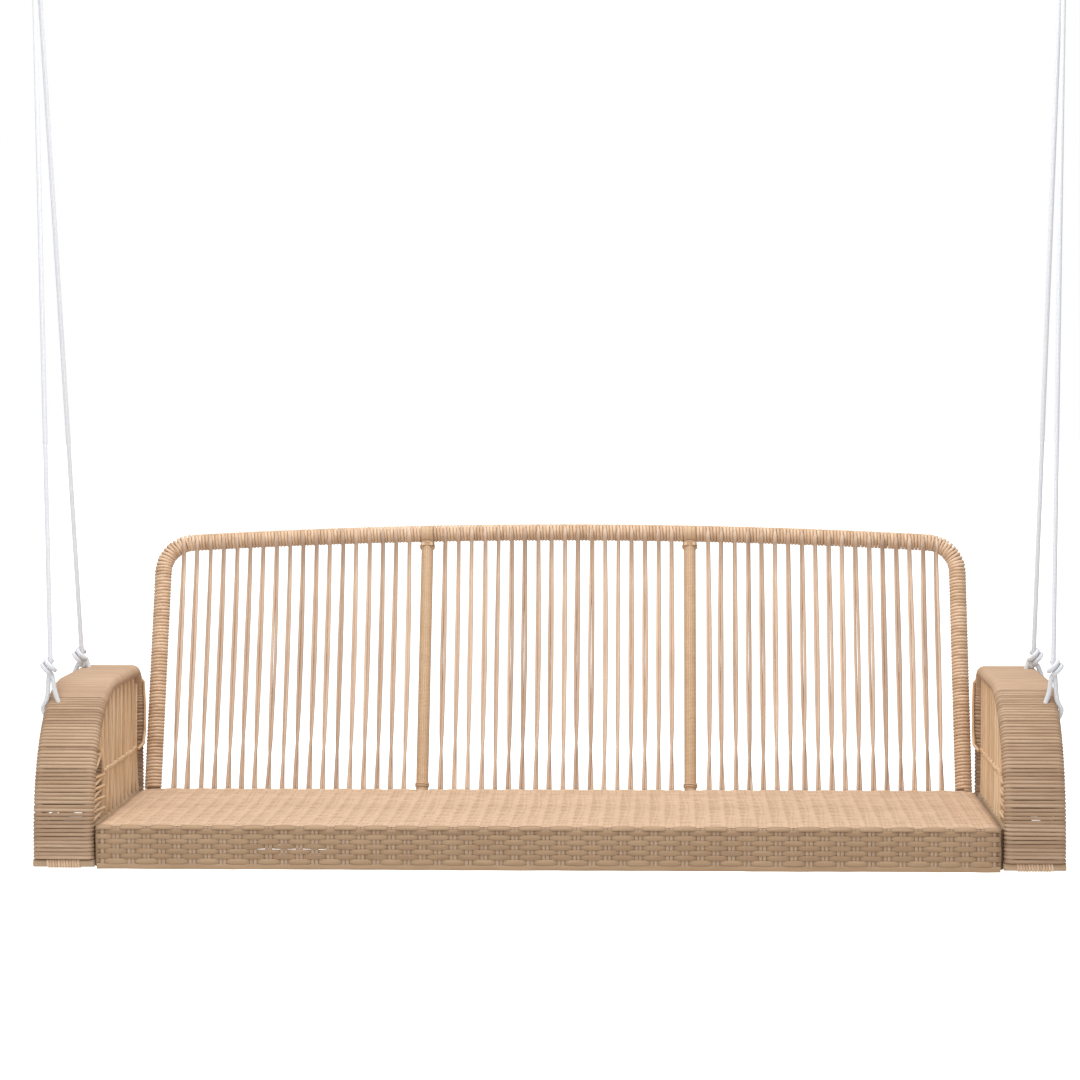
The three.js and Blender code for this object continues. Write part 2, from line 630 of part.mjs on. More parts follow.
function buildRopes(side, sign, hookX) {
  const ropes = new THREE.Group();
  const meeting = vec(hookX, HANG_Y, HANG_HEIGHT);
  const knotHeight = { front: FRONT_KNOT_HEIGHT, rear: REAR_KNOT_HEIGHT };
  const ends = Object.keys(ropeY);
  const knots = ends.map((end) => hitchPlace(sign, ropeY[end], knotHeight[end]));
  const directions = knots.map((knot) => meeting.clone().sub(knot).normalize());
  // The eye's knot reaches down to where there is air between its two ropes.
  const parting = (around(ROPE) + GAP) / (2 * Math.sin(directions[0].angleTo(directions[1]) / 2));
  const beyondKnot = EYE_LOOP + ROPE / 2 + GAP + ROPE_END;
  const knotLength = Math.max(EYE_KNOT_LENGTH, parting - beyondKnot);
  const eyeReach = beyondKnot + knotLength;
  ends.forEach((end, i) => {
    const start = knots[i].clone().addScaledVector(directions[i], HITCH_KNOT / 2 + GAP);
    const stop = meeting.clone().addScaledVector(directions[i], -eyeReach);
    const route = Array.from({ length: ROPE_STEPS + 1 }, (_, n) => start.clone().lerp(stop, n / ROPE_STEPS));
    const hitched = hitch(sign, ropeY[end], knotHeight[end]);
    ropes.add(piece(`rope_${side}_${end}`, sweep(rod(ROPE), route), WHITE_ROPE()));
    ropes.add(piece(`rope_hitch_${side}_${end}`, hitched, WHITE_ROPE()));
  });
  ropes.add(piece(`rope_eye_${side}`, topEye(hookX, knotLength), WHITE_ROPE()));
  return ropes;
}

// ---- Snap hooks --------------------------------------------------------------------------------
// Each hangs in the X-Z plane. Its lower bend is centred on the swing axis, its gate faces inwards.

function buildHook(side, sign, hookX) {
  const hook = new THREE.Group();
  hook.position.set(hookX, HANG_Y, HANG_HEIGHT);
  hook.rotation.z = sign > 0 ? Math.PI : 0;
  const lowRadius = HOOK_WIDTH / 2 - HOOK_WIRE / 2;
  const upperZ = HOOK_HEIGHT - HOOK_WIRE - 2 * lowRadius;
  const gateBottom = lowRadius + GATE_SHOULDER;
  const gateTop = lowRadius + upperZ - GATE_SHOULDER;
  const place = (x, z) => vec(x, 0, z);
  const route = [
    place(lowRadius, gateBottom - GATE_SLOT),
    ...bend([0, lowRadius], lowRadius, lowRadius, 0, -180, LOOP_STEPS, place),
    ...bend([0, lowRadius + upperZ], lowRadius, lowRadius, 180, 0, LOOP_STEPS, place),
    place(lowRadius, gateTop + GATE_SLOT),
  ];
  hook.add(piece(`snap_hook_${side}`, sweep(rod(HOOK_WIRE), route), ZINC()));
  const gate = sweep(rod(GATE_WIRE), [place(lowRadius, gateBottom), place(lowRadius, gateTop)]);
  hook.add(piece(`snap_hook_gate_${side}`, gate, ZINC()));
  return hook;
}

// ---- Bolts -------------------------------------------------------------------------------------

/** A hexagon bolt with its nut run up, lying along Y. */
function bolt(grip) {
  const shank = new THREE.CylinderGeometry(BOLT / 2, BOLT / 2, grip + 2 * BOLT_HEAD_HEIGHT, SIDES);
  const ends = [-1, 1].map((end) => {
    const hexagon = new THREE.CylinderGeometry(BOLT_HEAD / 2, BOLT_HEAD / 2, BOLT_HEAD_HEIGHT, 6);
    return hexagon.translate(0, (end * (grip + BOLT_HEAD_HEIGHT)) / 2, 0);
  });
  return join(shank, ends);
}

function buildBolts() {
  const bolts = new THREE.Group();
  const armGripStart = sideRailX - SEAT_TUBE / 2 - GAP;
  const armGripEnd = innerHoopX + SILL_TUBE / 2 + GAP;
  for (const [side, sign] of [['left', -1], ['right', 1]]) {
    for (const [end, y] of Object.entries(armBoltY)) {
      const shape = bolt(armGripEnd - armGripStart).rotateZ(Math.PI / 2);
      shape.translate(sign * (armGripStart + armGripEnd) / 2, y, railZ);
      bolts.add(piece(`arm_bolt_${side}_${end}`, shape, ZINC()));
    }
  }
  const backGripStart = rearRailY - SEAT_TUBE / 2 - GAP;
  const backGripEnd = lowerRailY + LOWER_RAIL_TUBE / 2 + BACK_BOLT_STANDOFF;
  backBoltsX.forEach((x, i) => {
    const shape = bolt(backGripEnd - backGripStart);
    shape.translate(x, (backGripStart + backGripEnd) / 2, backBoltZ);
    bolts.add(piece(`back_bolt_${i + 1}`, shape, ZINC()));
  });
  return bolts;
}

// ---- Assembly ----------------------------------------------------------------------------------

swing.position.copy(seatFrameOrigin);
swing.add(buildSeat(), buildBack(), buildBolts());
for (const [side, sign, splay] of [['left', -1, LEFT_SPLAY], ['right', 1, RIGHT_SPLAY]]) {
  const hookX = sign * (outerHoopX + splay);
  swing.add(buildArm(side, sign), buildRopes(side, sign, hookX), buildHook(side, sign, hookX));
}

export default swing;
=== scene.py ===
"""Looks of a three-seat hanging porch swing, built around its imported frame.

Everything is in metres in the frame's axes: +X along the seat, +Y to the rear, +Z up, with the
origin on the swing axis. Sizes of the swing itself are kept in millimetres, counted from the
middle of the apron's bottom edge, and Place turns them into the frame's metres.
"""
import logging
import math
from dataclasses import dataclass, field
from enum import Enum
from typing import Any, Callable

import bpy
import numpy as np
from mathutils import Euler, Matrix, Vector


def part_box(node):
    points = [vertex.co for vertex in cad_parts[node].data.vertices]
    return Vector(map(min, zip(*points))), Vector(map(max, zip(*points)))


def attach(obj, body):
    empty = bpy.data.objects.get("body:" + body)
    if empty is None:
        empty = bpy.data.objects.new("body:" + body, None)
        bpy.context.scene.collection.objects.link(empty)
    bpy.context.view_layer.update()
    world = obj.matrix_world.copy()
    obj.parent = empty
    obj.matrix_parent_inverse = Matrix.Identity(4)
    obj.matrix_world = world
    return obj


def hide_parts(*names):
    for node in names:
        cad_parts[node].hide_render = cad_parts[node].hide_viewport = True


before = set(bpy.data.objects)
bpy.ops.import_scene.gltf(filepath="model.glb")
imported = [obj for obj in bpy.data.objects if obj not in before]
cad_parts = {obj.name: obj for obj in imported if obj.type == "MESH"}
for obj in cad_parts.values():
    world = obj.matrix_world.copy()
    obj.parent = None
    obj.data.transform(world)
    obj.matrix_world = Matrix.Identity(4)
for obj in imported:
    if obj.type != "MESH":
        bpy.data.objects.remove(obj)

Tree, Node, Socket = bpy.types.NodeTree, bpy.types.Node, bpy.types.NodeSocket
Piece, Material = bpy.types.Object, bpy.types.Material

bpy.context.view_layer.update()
MM = 0.001
RIGHT = np.array([1.0, 0.0, 0.0])
REAR = np.array([0.0, 1.0, 0.0])
UP = np.array([0.0, 0.0, 1.0])
SLOPE = math.sqrt(0.5)  # sine and cosine of half a right angle
WHITE = (1.0, 1.0, 1.0, 1.0)
SWING = "swing"
HOOKS = "hooks"
log = logging.getLogger("porch_swing")


class Side(Enum):
    """Which end of the seat, as seen from the front."""

    LEFT = -1
    RIGHT = 1

    @property
    def word(self) -> str:
        """The side's name in a piece's name."""
        return self.name.lower()


class Face(Enum):
    """Which of an arm's two laced sides."""

    INNER = "inner"
    OUTER = "outer"


# ---- Nodes -------------------------------------------------------------------------------------


def add_node(
    tree: Tree,
    kind: str,
    inputs: dict[str | int, Any] | None = None,
    **settings: Any,
) -> Node:
    """Adds a node with its settings and its inputs.

    Args:
        tree: The tree that the node goes into.
        kind: The node's type name.
        inputs: For each input, by name or index, a value or the socket that feeds it.
        **settings: Properties of the node, set before its inputs.

    Returns:
        The new node.
    """
    node = tree.nodes.new(kind)
    for name, value in settings.items():
        setattr(node, name, value)
    for key, value in (inputs or {}).items():
        if isinstance(key, int):
            socket = node.inputs[key]
        else:
            socket = next(s for s in node.inputs if s.name == key and s.enabled)
        if isinstance(value, Socket):
            tree.links.new(value, socket)
        else:
            socket.default_value = value
    return node


def output(tree: Tree, kind: str, inputs: dict | None = None, **settings: Any) -> Socket:
    """Adds a node as add_node does, and gives its first output that is in use."""
    return next(s for s in add_node(tree, kind, inputs, **settings).outputs if s.enabled)


def calc(tree: Tree, operation: str, *values: Any) -> Socket:
    """Adds a math node on numbers or sockets, and gives its result."""
    return output(tree, "ShaderNodeMath", dict(enumerate(values)), operation=operation)


def attribute(tree: Tree, name: str, kind: str = "Fac") -> Socket:
    """Reads a stored attribute in a finish, as a number or as a "Vector"."""
    return add_node(tree, "ShaderNodeAttribute", attribute_name=name).outputs[kind]


def noise(tree: Tree, at: Any, scale: float, detail: float, roughness: float = 0.5) -> Socket:
    """Adds a noise texture.

    Args:
        tree: The finish's tree.
        at: The socket with the place that it is read at, or None for the object's own place.
        scale: How many of its features lie in a metre.
        detail: How many octaves finer it goes.
        roughness: How strong the finer ones are.

    Returns:
        The noise, from 0 to 1.
    """
    spot = at or add_node(tree, "ShaderNodeTexCoord").outputs["Object"]
    inputs = {"Vector": spot, "Scale": scale, "Detail": detail, "Roughness": roughness}
    return output(tree, "ShaderNodeTexNoise", inputs)


def linear(code: str) -> tuple[float, float, float, float]:
    """Turns an sRGB hex colour, "#rrggbb", into the linear colour that a shader takes."""
    channels = [int(code[i : i + 2], 16) / 255 for i in (1, 3, 5)]
    bright = [c / 12.92 if c <= 0.04045 else ((c + 0.055) / 1.055) ** 2.4 for c in channels]
    return (*bright, 1.0)


def ramp(tree: Tree, value: Socket, *stops: tuple[float, str]) -> Socket:
    """Adds a colour ramp.

    Args:
        tree: The finish's tree.
        value: The number that it turns into a colour.
        *stops: Places and sRGB hex colours: the lowest, the highest, then any between.

    Returns:
        The colour.
    """
    node = add_node(tree, "ShaderNodeValToRGB", {0: value})
    elements = node.color_ramp.elements
    for element, (place, code) in zip(elements, stops[:2]):
        element.position, element.color = place, linear(code)
    for place, code in stops[2:]:
        elements.new(place).color = linear(code)
    return node.outputs["Color"]


def bump(tree: Tree, height: Socket, strength: float, depth_mm: float) -> Socket:
    """Turns a height from 0 to 1 into a bumped normal, this deep in mm."""
    inputs = {"Height": height, "Strength": strength, "Distance": depth_mm * MM}
    return output(tree, "ShaderNodeBump", inputs)


def mix(tree: Tree, share: Socket, first: Any, second: Any) -> Socket:
    """Mixes two colours, and gives more of the second as share goes from 0 to 1."""
    inputs = {"Factor": share, "A": first, "B": second}
    return output(tree, "ShaderNodeMix", inputs, data_type="RGBA")


# ---- Finishes ----------------------------------------------------------------------------------


@dataclass(frozen=True)
class Finish:
    """A named finish, made of nodes.

    Attributes:
        name: The material's name.
    """

    name: str

    def paint(self, tree: Tree) -> dict[str, Any]:
        """Gives the principled shader's inputs, as values or as sockets of the tree."""
        raise NotImplementedError

    def surface(self, tree: Tree, shader: Node) -> Socket:
        """Gives the socket that the surface is seen through."""
        return shader.outputs["BSDF"]

    def material(self) -> Material:
        """Builds the finish.

        Returns:
            The material.
        """
        material = bpy.data.materials.new(self.name)
        material.use_nodes = True
        tree = material.node_tree
        tree.nodes.clear()
        shader = add_node(tree, "ShaderNodeBsdfPrincipled", self.paint(tree))
        add_node(tree, "ShaderNodeOutputMaterial", {"Surface": self.surface(tree, shader)})
        return material


@dataclass(frozen=True)
class Rattan(Finish):
    """Extruded polyethylene rattan: matt, faintly waxy, with lengthwise drawn lines.

    The extruder leaves fine lines along each cord and faint streaks of a darker and a paler tan,
    and every length has its own tone, so neighbouring turns never quite match.
    """

    dark: str
    middle: str
    light: str
    variety: float  # how much one length's tone may differ from the next
    streak_mm: float = 2.2  # a streak's width round the cord
    streak_length_mm: float = 60.0
    line_mm: float = 0.9  # real lines are about 0.4 mm, drawn coarser so that they show
    line_depth_mm: float = 0.25
    streaks: float = 0.36  # how much a streak may change the tone
    blotches: float = 0.12  # how much the colour batch's drift may
    blotch_scale: float = 9.0  # blotches a metre, about a hand wide
    middle_tone: float = 0.17
    stretch: float = 37.0
    roughness: float = 0.56
    shade: str = "#5f452e"  # painted shade, mixed into the colour where a cord is marked as shaded
    radius_mm: float = 3.5  # the radius of a usual cord, on which the streaks are spaced

    def drawn(self, tree: Tree, width_mm: float, length_mm: float) -> Socket:
        """Adds noise drawn out along the cord, different on every length.

        Args:
            tree: The finish's tree.
            width_mm: Its features' width round the cord.
            length_mm: Their length along it.

        Returns:
            The noise, from 0 to 1.
        """
        around = output(tree, "ShaderNodeSeparateXYZ", {0: attribute(tree, "ring", "Vector")}).node
        across = self.radius_mm / width_mm
        x = calc(tree, "MULTIPLY", around.outputs[0], across)
        y = calc(tree, "MULTIPLY", around.outputs[1], across)
        z = calc(tree, "MULTIPLY", attribute(tree, "along"), 1 / (length_mm * MM))
        # Every length reads its own stretch of the noise.
        seeded = calc(tree, "MULTIPLY_ADD", attribute(tree, "tone"), self.stretch, z)
        at = output(tree, "ShaderNodeCombineXYZ", {0: x, 1: y, 2: seeded})
        return noise(tree, at, 1.0, 3.0, 0.6)

    def paint(self, tree: Tree) -> dict[str, Any]:
        """Gives the shader's inputs: streaks and tones in the colour, painted shade where a cord is marked
        as shaded, lines in the surface.
        """
        streaks = self.drawn(tree, self.streak_mm, self.streak_length_mm)
        lines = self.drawn(tree, self.line_mm, self.streak_length_mm * 2)
        mixed = calc(tree, "MULTIPLY_ADD", streaks, self.streaks, self.middle_tone)
        mixed = calc(tree, "MULTIPLY_ADD", attribute(tree, "tone"), self.variety, mixed)
        drift = noise(tree, None, self.blotch_scale, 2.0)
        mixed = calc(tree, "MULTIPLY_ADD", drift, self.blotches, mixed)
        colour = ramp(tree, mixed, (0.30, self.dark), (0.80, self.light), (0.53, self.middle))
        limits = {"To Min": self.roughness - 0.08, "To Max": self.roughness + 0.1}
        return {
            "Base Color": mix(tree, attribute(tree, "painted_shade"), colour, linear(self.shade)),
            "Roughness": output(tree, "ShaderNodeMapRange", {"Value": lines, **limits}),
            "Normal": bump(tree, lines, 0.35, self.line_depth_mm),
            "Specular IOR Level": 0.35,
            "IOR": 1.5,
        }


@dataclass(frozen=True)
class BraidedRope(Finish):
    """White braided polyester rope: sixteen carriers in a diamond braid, soft and matt.

    The braid gives fine crossing ridges with shade between them, and the loose filaments give
    the white a slight fuzz of sheen at its edges.
    """

    name: str = "braided_polyester_rope"
    thread: str = "#f4f4f6"
    # Painted shade, a bluish grey, in the valleys between the braid's ridges.
    valley_shade: str = "#b9bdc4"
    carriers: int = 5  # ridges each way round the rope; a real 16-plait has 8, drawn coarser
    pitch_mm: float = 26.0  # one carrier's full turn; coarser than the real 18 mm, so that it shows
    ridge_mm: float = 0.7

    def paint(self, tree: Tree) -> dict[str, Any]:
        """Gives the shader's inputs: two sets of crossing ridges, with painted shade in the colour between
        them.
        """
        around = output(tree, "ShaderNodeSeparateXYZ", {0: attribute(tree, "ring", "Vector")}).node
        angle = calc(tree, "ARCTAN2", around.outputs[1], around.outputs[0])
        turned = calc(tree, "MULTIPLY", angle, float(self.carriers))
        twist = 2 * math.pi * self.carriers / (self.pitch_mm * MM)
        wound = calc(tree, "MULTIPLY", attribute(tree, "along"), twist)
        ridges = [calc(tree, "SINE", calc(tree, way, wound, turned)) for way in ("ADD", "SUBTRACT")]
        braid = calc(tree, "MULTIPLY", *ridges)
        limits = {"From Min": -1.0, "From Max": 1.0}
        height = output(tree, "ShaderNodeMapRange", {"Value": braid, **limits})
        return {
            "Base Color": mix(tree, height, linear(self.valley_shade), linear(self.thread)),
            "Normal": bump(tree, height, 0.6, self.ridge_mm),
            "Roughness": 0.82,
            "Sheen Weight": 0.25,
            "Sheen Roughness": 0.5,
        }


@dataclass(frozen=True)
class PowderCoat(Finish):
    """Polyester powder coat on steel tube: sand colour, semi-matt, with a fine orange peel."""

    name: str = "powder_coated_steel"
    colour: str = "#b39677"
    worn: str = "#9a7f62"
    peel_mm: float = 3.0  # real orange peel is 1 to 2 mm, drawn coarser so that it shows
    peel_depth_mm: float = 0.2
    patch_scale: float = 14.0  # patches of wear a metre

    def paint(self, tree: Tree) -> dict[str, Any]:
        """Gives the shader's inputs: faint patches of wear and the peel."""
        patches = noise(tree, None, self.patch_scale, 4.0)
        peel = noise(tree, None, 1 / (self.peel_mm * MM), 2.0)
        return {
            "Base Color": ramp(tree, patches, (0.3, self.worn), (0.6, self.colour)),
            "Normal": bump(tree, peel, 0.25, self.peel_depth_mm),
            "Roughness": 0.45,
        }


@dataclass(frozen=True)
class ZincPlate(Finish):
    """Bright zinc plate on steel wire and bolts: grey, a little cloudy, with soft highlights."""

    name: str = "zinc_plated_steel"
    bright: str = "#c9ccd0"
    cloudy: str = "#a3a7ac"
    cloud_mm: float = 9.0

    def paint(self, tree: Tree) -> dict[str, Any]:
        """Gives the shader's inputs: clouds that are paler and smoother by turns."""
        clouds = noise(tree, None, 1 / (self.cloud_mm * MM), 5.0)
        limits = {"To Min": 0.42, "To Max": 0.24}
        return {
            "Base Color": ramp(tree, clouds, (0.35, self.cloudy), (0.65, self.bright)),
            "Roughness": output(tree, "ShaderNodeMapRange", {"Value": clouds, **limits}),
            "Metallic": 1.0,
        }


@dataclass(frozen=True)
class PaintedFloor(Finish):
    """Matt white floor paint, lit to the same white as the wall behind, with no line between."""

    name: str = "painted_floor"

    def paint(self, tree: Tree) -> dict[str, Any]:
        """Gives the shader's inputs: a white that drifts very slightly."""
        path = add_node(tree, "ShaderNodeLightPath")
        return {
            "Base Color": ramp(tree, noise(tree, None, 0.8, 2.0), (0.0, "#f7f7f6"), (1.0, "#fdfdfc")),
            "Roughness": 0.9,
            "Emission Color": WHITE,
            "Emission Strength": path.outputs["Is Camera Ray"],
        }

    def surface(self, tree: Tree, shader: Node) -> Socket:
        """Leaves the floor clear from below, so that the seat's underside can be looked at."""
        face = add_node(tree, "ShaderNodeNewGeometry").outputs["Backfacing"]
        clear = output(tree, "ShaderNodeBsdfTransparent")
        return output(tree, "ShaderNodeMixShader", {0: face, 1: shader.outputs["BSDF"], 2: clear})


# ---- Geometry Nodes ----------------------------------------------------------------------------


class SolidTree:
    """A Geometry Nodes tree that turns routes into finished solids.

    A base mesh of loose polylines goes in. What comes out is realized and has its material.
    """

    COUNTS = ("Steps", "Sides", "Seed")

    def __init__(self, name: str, *sizes: str) -> None:
        """Makes the group with its named inputs.

        Args:
            name: The tree's name.
            *sizes: Its inputs, besides the routes, the seed and the finish.
        """
        self.tree = bpy.data.node_groups.new(name, "GeometryNodeTree")
        face = self.tree.interface
        face.new_socket(name="Routes", in_out="INPUT", socket_type="NodeSocketGeometry")
        face.new_socket(name="Solid", in_out="OUTPUT", socket_type="NodeSocketGeometry")
        kinds = {
            label: "NodeSocketInt" if label in self.COUNTS else "NodeSocketFloat"
            for label in (*sizes, "Seed")
        }
        kinds["Finish"] = "NodeSocketMaterial"
        self.identifiers = {
            label: face.new_socket(name=label, in_out="INPUT", socket_type=kind).identifier
            for label, kind in kinds.items()
        }
        self.given = add_node(self.tree, "NodeGroupInput").outputs

    def add(self, kind: str, inputs: dict | None = None, **settings: Any) -> Socket:
        """Adds a geometry node by its short name, and gives its first output in use."""
        return output(self.tree, "GeometryNode" + kind, inputs, **settings)

    def calc(self, operation: str, *values: Any) -> Socket:
        """Adds a math node on numbers or sockets, and gives its result."""
        return calc(self.tree, operation, *values)

    def vector(self, operation: str, first: Any, second: Any) -> Socket:
        """Adds a vector math node, whose second value is a number if it scales."""
        inputs = {0: first, "Scale" if operation == "SCALE" else 1: second}
        return output(self.tree, "ShaderNodeVectorMath", inputs, operation=operation)

    def chance(self, **inputs: Any) -> Socket:
        """Adds a random number from the tree's own seed."""
        inputs["Seed"] = self.given["Seed"]
        return output(self.tree, "FunctionNodeRandomValue", inputs, data_type="FLOAT")

    def named(self, name: str, kind: str = "FLOAT_VECTOR") -> Socket:
        """Reads a stored attribute."""
        return self.add("InputNamedAttribute", {"Name": name}, data_type=kind)

    def store(
        self,
        geometry: Socket,
        name: str,
        value: Socket,
        kind: str = "FLOAT",
        domain: str = "POINT",
    ) -> Socket:
        """Stores a value on the geometry under a name that a finish reads.

        Args:
            geometry: The geometry.
            name: The attribute's name.
            value: The field that it takes.
            kind: Its data type.
            domain: Where it is kept.

        Returns:
            The geometry with the attribute.
        """
        inputs = {"Geometry": geometry, "Name": name, "Value": value}
        return self.add("StoreNamedAttribute", inputs, data_type=kind, domain=domain)

    def measured(self, curve: Socket) -> Socket:
        """Stores how far along the cord each point lies."""
        lengths = add_node(self.tree, "GeometryNodeSplineParameter").outputs["Length"]
        return self.store(curve, "along", lengths)

    def section(self, width: str, thickness: str) -> Socket:
        """An oval section, with each point's direction round the cord stored as ring.

        Args:
            width: The input with its width, along the section's first axis.
            thickness: The input with its thickness.

        Returns:
            The section as a curve.
        """
        circle = self.add("CurvePrimitiveCircle", {"Resolution": self.given["Sides"], "Radius": 0.5})
        kept = self.store(circle, "ring", self.add("InputPosition"), "FLOAT_VECTOR")
        sizes = {0: self.given[width], 1: self.given[thickness], 2: 1.0}
        scale = output(self.tree, "ShaderNodeCombineXYZ", sizes)
        return self.add("Transform", {"Geometry": kept, "Scale": scale})

    def end(self, geometry: Socket) -> None:
        """Ends the tree: real geometry, shaded smooth, in its material."""
        smooth = self.add("SetShadeSmooth", {0: self.add("RealizeInstances", {0: geometry})})
        dressed = self.add("SetMaterial", {"Geometry": smooth, "Material": self.given["Finish"]})
        add_node(self.tree, "NodeGroupOutput", {0: dressed})

    def make(self, name: str, cords: list["Cord"], values: dict[str, Any]) -> Piece:
        """Runs the tree on routes and keeps the result as a plain mesh.

        Args:
            name: The new piece's name.
            cords: The routes.
            values: The tree's inputs by name.

        Returns:
            The piece, with no modifier on it.
        """
        base = routes_mesh(name + "_routes", cords)
        draft = bpy.data.objects.new(name + "_routes", base)
        bpy.context.scene.collection.objects.link(draft)
        modifier = draft.modifiers.new("solid", "NODES")
        modifier.node_group = self.tree
        for label, value in values.items():
            modifier[self.identifiers[label]] = value
        bpy.context.view_layer.update()
        shaped = draft.evaluated_get(bpy.context.evaluated_depsgraph_get())
        mesh = bpy.data.meshes.new_from_object(shaped)
        mesh.name = name
        draft.modifiers.clear()
        bpy.data.objects.remove(draft)
        bpy.data.meshes.remove(base)
        piece = bpy.data.objects.new(name, mesh)
        bpy.context.scene.collection.objects.link(piece)
        if not len(mesh.polygons):
            raise RuntimeError(f"{name} came out empty")
        return piece


@dataclass
class Cord:
    """One length of cord, strip or tube before it has a thickness.

    Attributes:
        route: Its centre line, one row a point, in the frame's metres.
        girth: How thick it is at each point, as a share of its nominal thickness.
        facing: The direction that the flat of a strip faces, at each point.
        painted_shade: How much painted shade darkens its colour at each point, from 0 for none to 1, most
            where it lies underneath in the weave.
    """

    route: np.ndarray
    girth: np.ndarray | float = 1.0
    facing: np.ndarray | None = None
    painted_shade: np.ndarray | float = 0.0


def carried_normals(route: np.ndarray) -> np.ndarray:
    """Directions across a route that turn with it and never twist about it.

    Args:
        route: The points.

    Returns:
        One unit vector a point.
    """
    ahead = np.gradient(route, axis=0)
    ahead /= np.linalg.norm(ahead, axis=1, keepdims=True)
    start = np.eye(3)[np.argmin(np.abs(ahead[0]))]
    normals = [start - ahead[0] * (start @ ahead[0])]
    for direction in ahead[1:]:
        last = normals[-1] - direction * (normals[-1] @ direction)
        normals.append(last / np.linalg.norm(last))
    normals[0] /= np.linalg.norm(normals[0])
    return np.array(normals)


def routes_mesh(name: str, cords: list[Cord]) -> bpy.types.Mesh:
    """Puts routes into one mesh of edges, with their girth, facing and painted shade as attributes.

    Args:
        name: The mesh's name.
        cords: The cords.

    Returns:
        The mesh.
    """
    points, edges, girths, facings, painted_shades = [], [], [], [], []
    start = 0
    for cord in cords:
        count = len(cord.route)
        points.append(cord.route)
        edges += [(start + i, start + i + 1) for i in range(count - 1)]
        girths.append(np.broadcast_to(np.asarray(cord.girth, float), (count,)))
        painted_shades.append(np.broadcast_to(np.asarray(cord.painted_shade, float), (count,)))
        facing = carried_normals(cord.route) if cord.facing is None else cord.facing
        facings.append(np.broadcast_to(facing, (count, 3)))
        start += count
    mesh = bpy.data.meshes.new(name)
    mesh.from_pydata(np.concatenate(points).tolist(), edges, [])
    for label, values in (("girth", girths), ("painted_shade", painted_shades)):
        kept = mesh.attributes.new(label, "FLOAT", "POINT")
        kept.data.foreach_set("value", np.concatenate(values).astype(np.float32))
    facing = mesh.attributes.new("facing", "FLOAT_VECTOR", "POINT")
    facing.data.foreach_set("vector", np.concatenate(facings).astype(np.float32).ravel())
    return mesh


class SweptTree(SolidTree):
    """Sweeps an oval section along every route: cords, strips, ropes and tubes."""

    def __init__(self) -> None:
        """Builds the tree."""
        super().__init__("swept_cord", "Width", "Thickness", "Sides")
        girth = self.named("girth", "FLOAT")
        curve = self.add("MeshToCurve", {0: self.given["Routes"]})
        faced = {"Curve": curve, "Normal": self.named("facing")}
        curve = self.add("SetCurveNormal", faced, mode="FREE")
        curve = self.add("SetCurveRadius", {"Curve": curve, "Radius": girth})
        curve = self.store(curve, "tone", self.chance(ID=self.add("CurveOfPoint")))
        swept = {
            "Curve": self.measured(curve),
            "Profile Curve": self.section("Width", "Thickness"),
            "Fill Caps": True,
        }
        solid = self.add("CurveToMesh", swept)
        if "Scale" in solid.node.inputs:
            self.tree.links.new(girth, solid.node.inputs["Scale"])
        self.end(solid)


class WoundTree(SolidTree):
    """Winds one cord or tape round every route as a helix, turn against turn."""

    def __init__(self) -> None:
        """Builds the tree."""
        sizes = ("Core", "Pitch", "Width", "Thickness", "Stray", "Steps", "Sides")
        super().__init__("wound_cord", *sizes)
        given, tangent = self.given, self.add("InputTangent")
        curve = self.add("MeshToCurve", {0: given["Routes"]})
        step = self.calc("DIVIDE", given["Pitch"], given["Steps"])
        curve = self.add("ResampleCurve", {"Curve": curve, "Length": step}, mode="LENGTH")
        turn = self.calc("DIVIDE", self.add("InputIndex"), given["Steps"])
        angle = self.calc("MULTIPLY", turn, 2 * math.pi)
        # The routes are flat, so one direction across them stays square to them all the way.
        across = self.named("facing")
        other = self.vector("CROSS_PRODUCT", tangent, across)
        first = self.vector("SCALE", across, self.calc("COSINE", angle))
        second = self.vector("SCALE", other, self.calc("SINE", angle))
        radial = self.vector("ADD", first, second)
        curve = self.store(curve, "radial", radial, "FLOAT_VECTOR")
        drift = {"W": turn, "Scale": 0.8, "Detail": 1.0}
        drift = output(self.tree, "ShaderNodeTexNoise", drift, noise_dimensions="1D")
        slip = self.calc("MULTIPLY", self.calc("SUBTRACT", drift, 0.5), given["Stray"])
        slipped = self.vector("SCALE", tangent, slip)
        offset = self.vector("ADD", self.vector("SCALE", radial, given["Core"]), slipped)
        curve = self.add("SetPosition", {"Geometry": curve, "Offset": offset})
        faced = {"Curve": curve, "Normal": self.named("radial")}
        curve = self.add("SetCurveNormal", faced, mode="FREE")
        curve = self.store(curve, "tone", self.chance(ID=self.calc("FLOOR", turn)))
        swept = {
            "Curve": self.measured(curve),
            "Profile Curve": self.section("Thickness", "Width"),
            "Fill Caps": True,
        }
        self.end(self.add("CurveToMesh", swept))


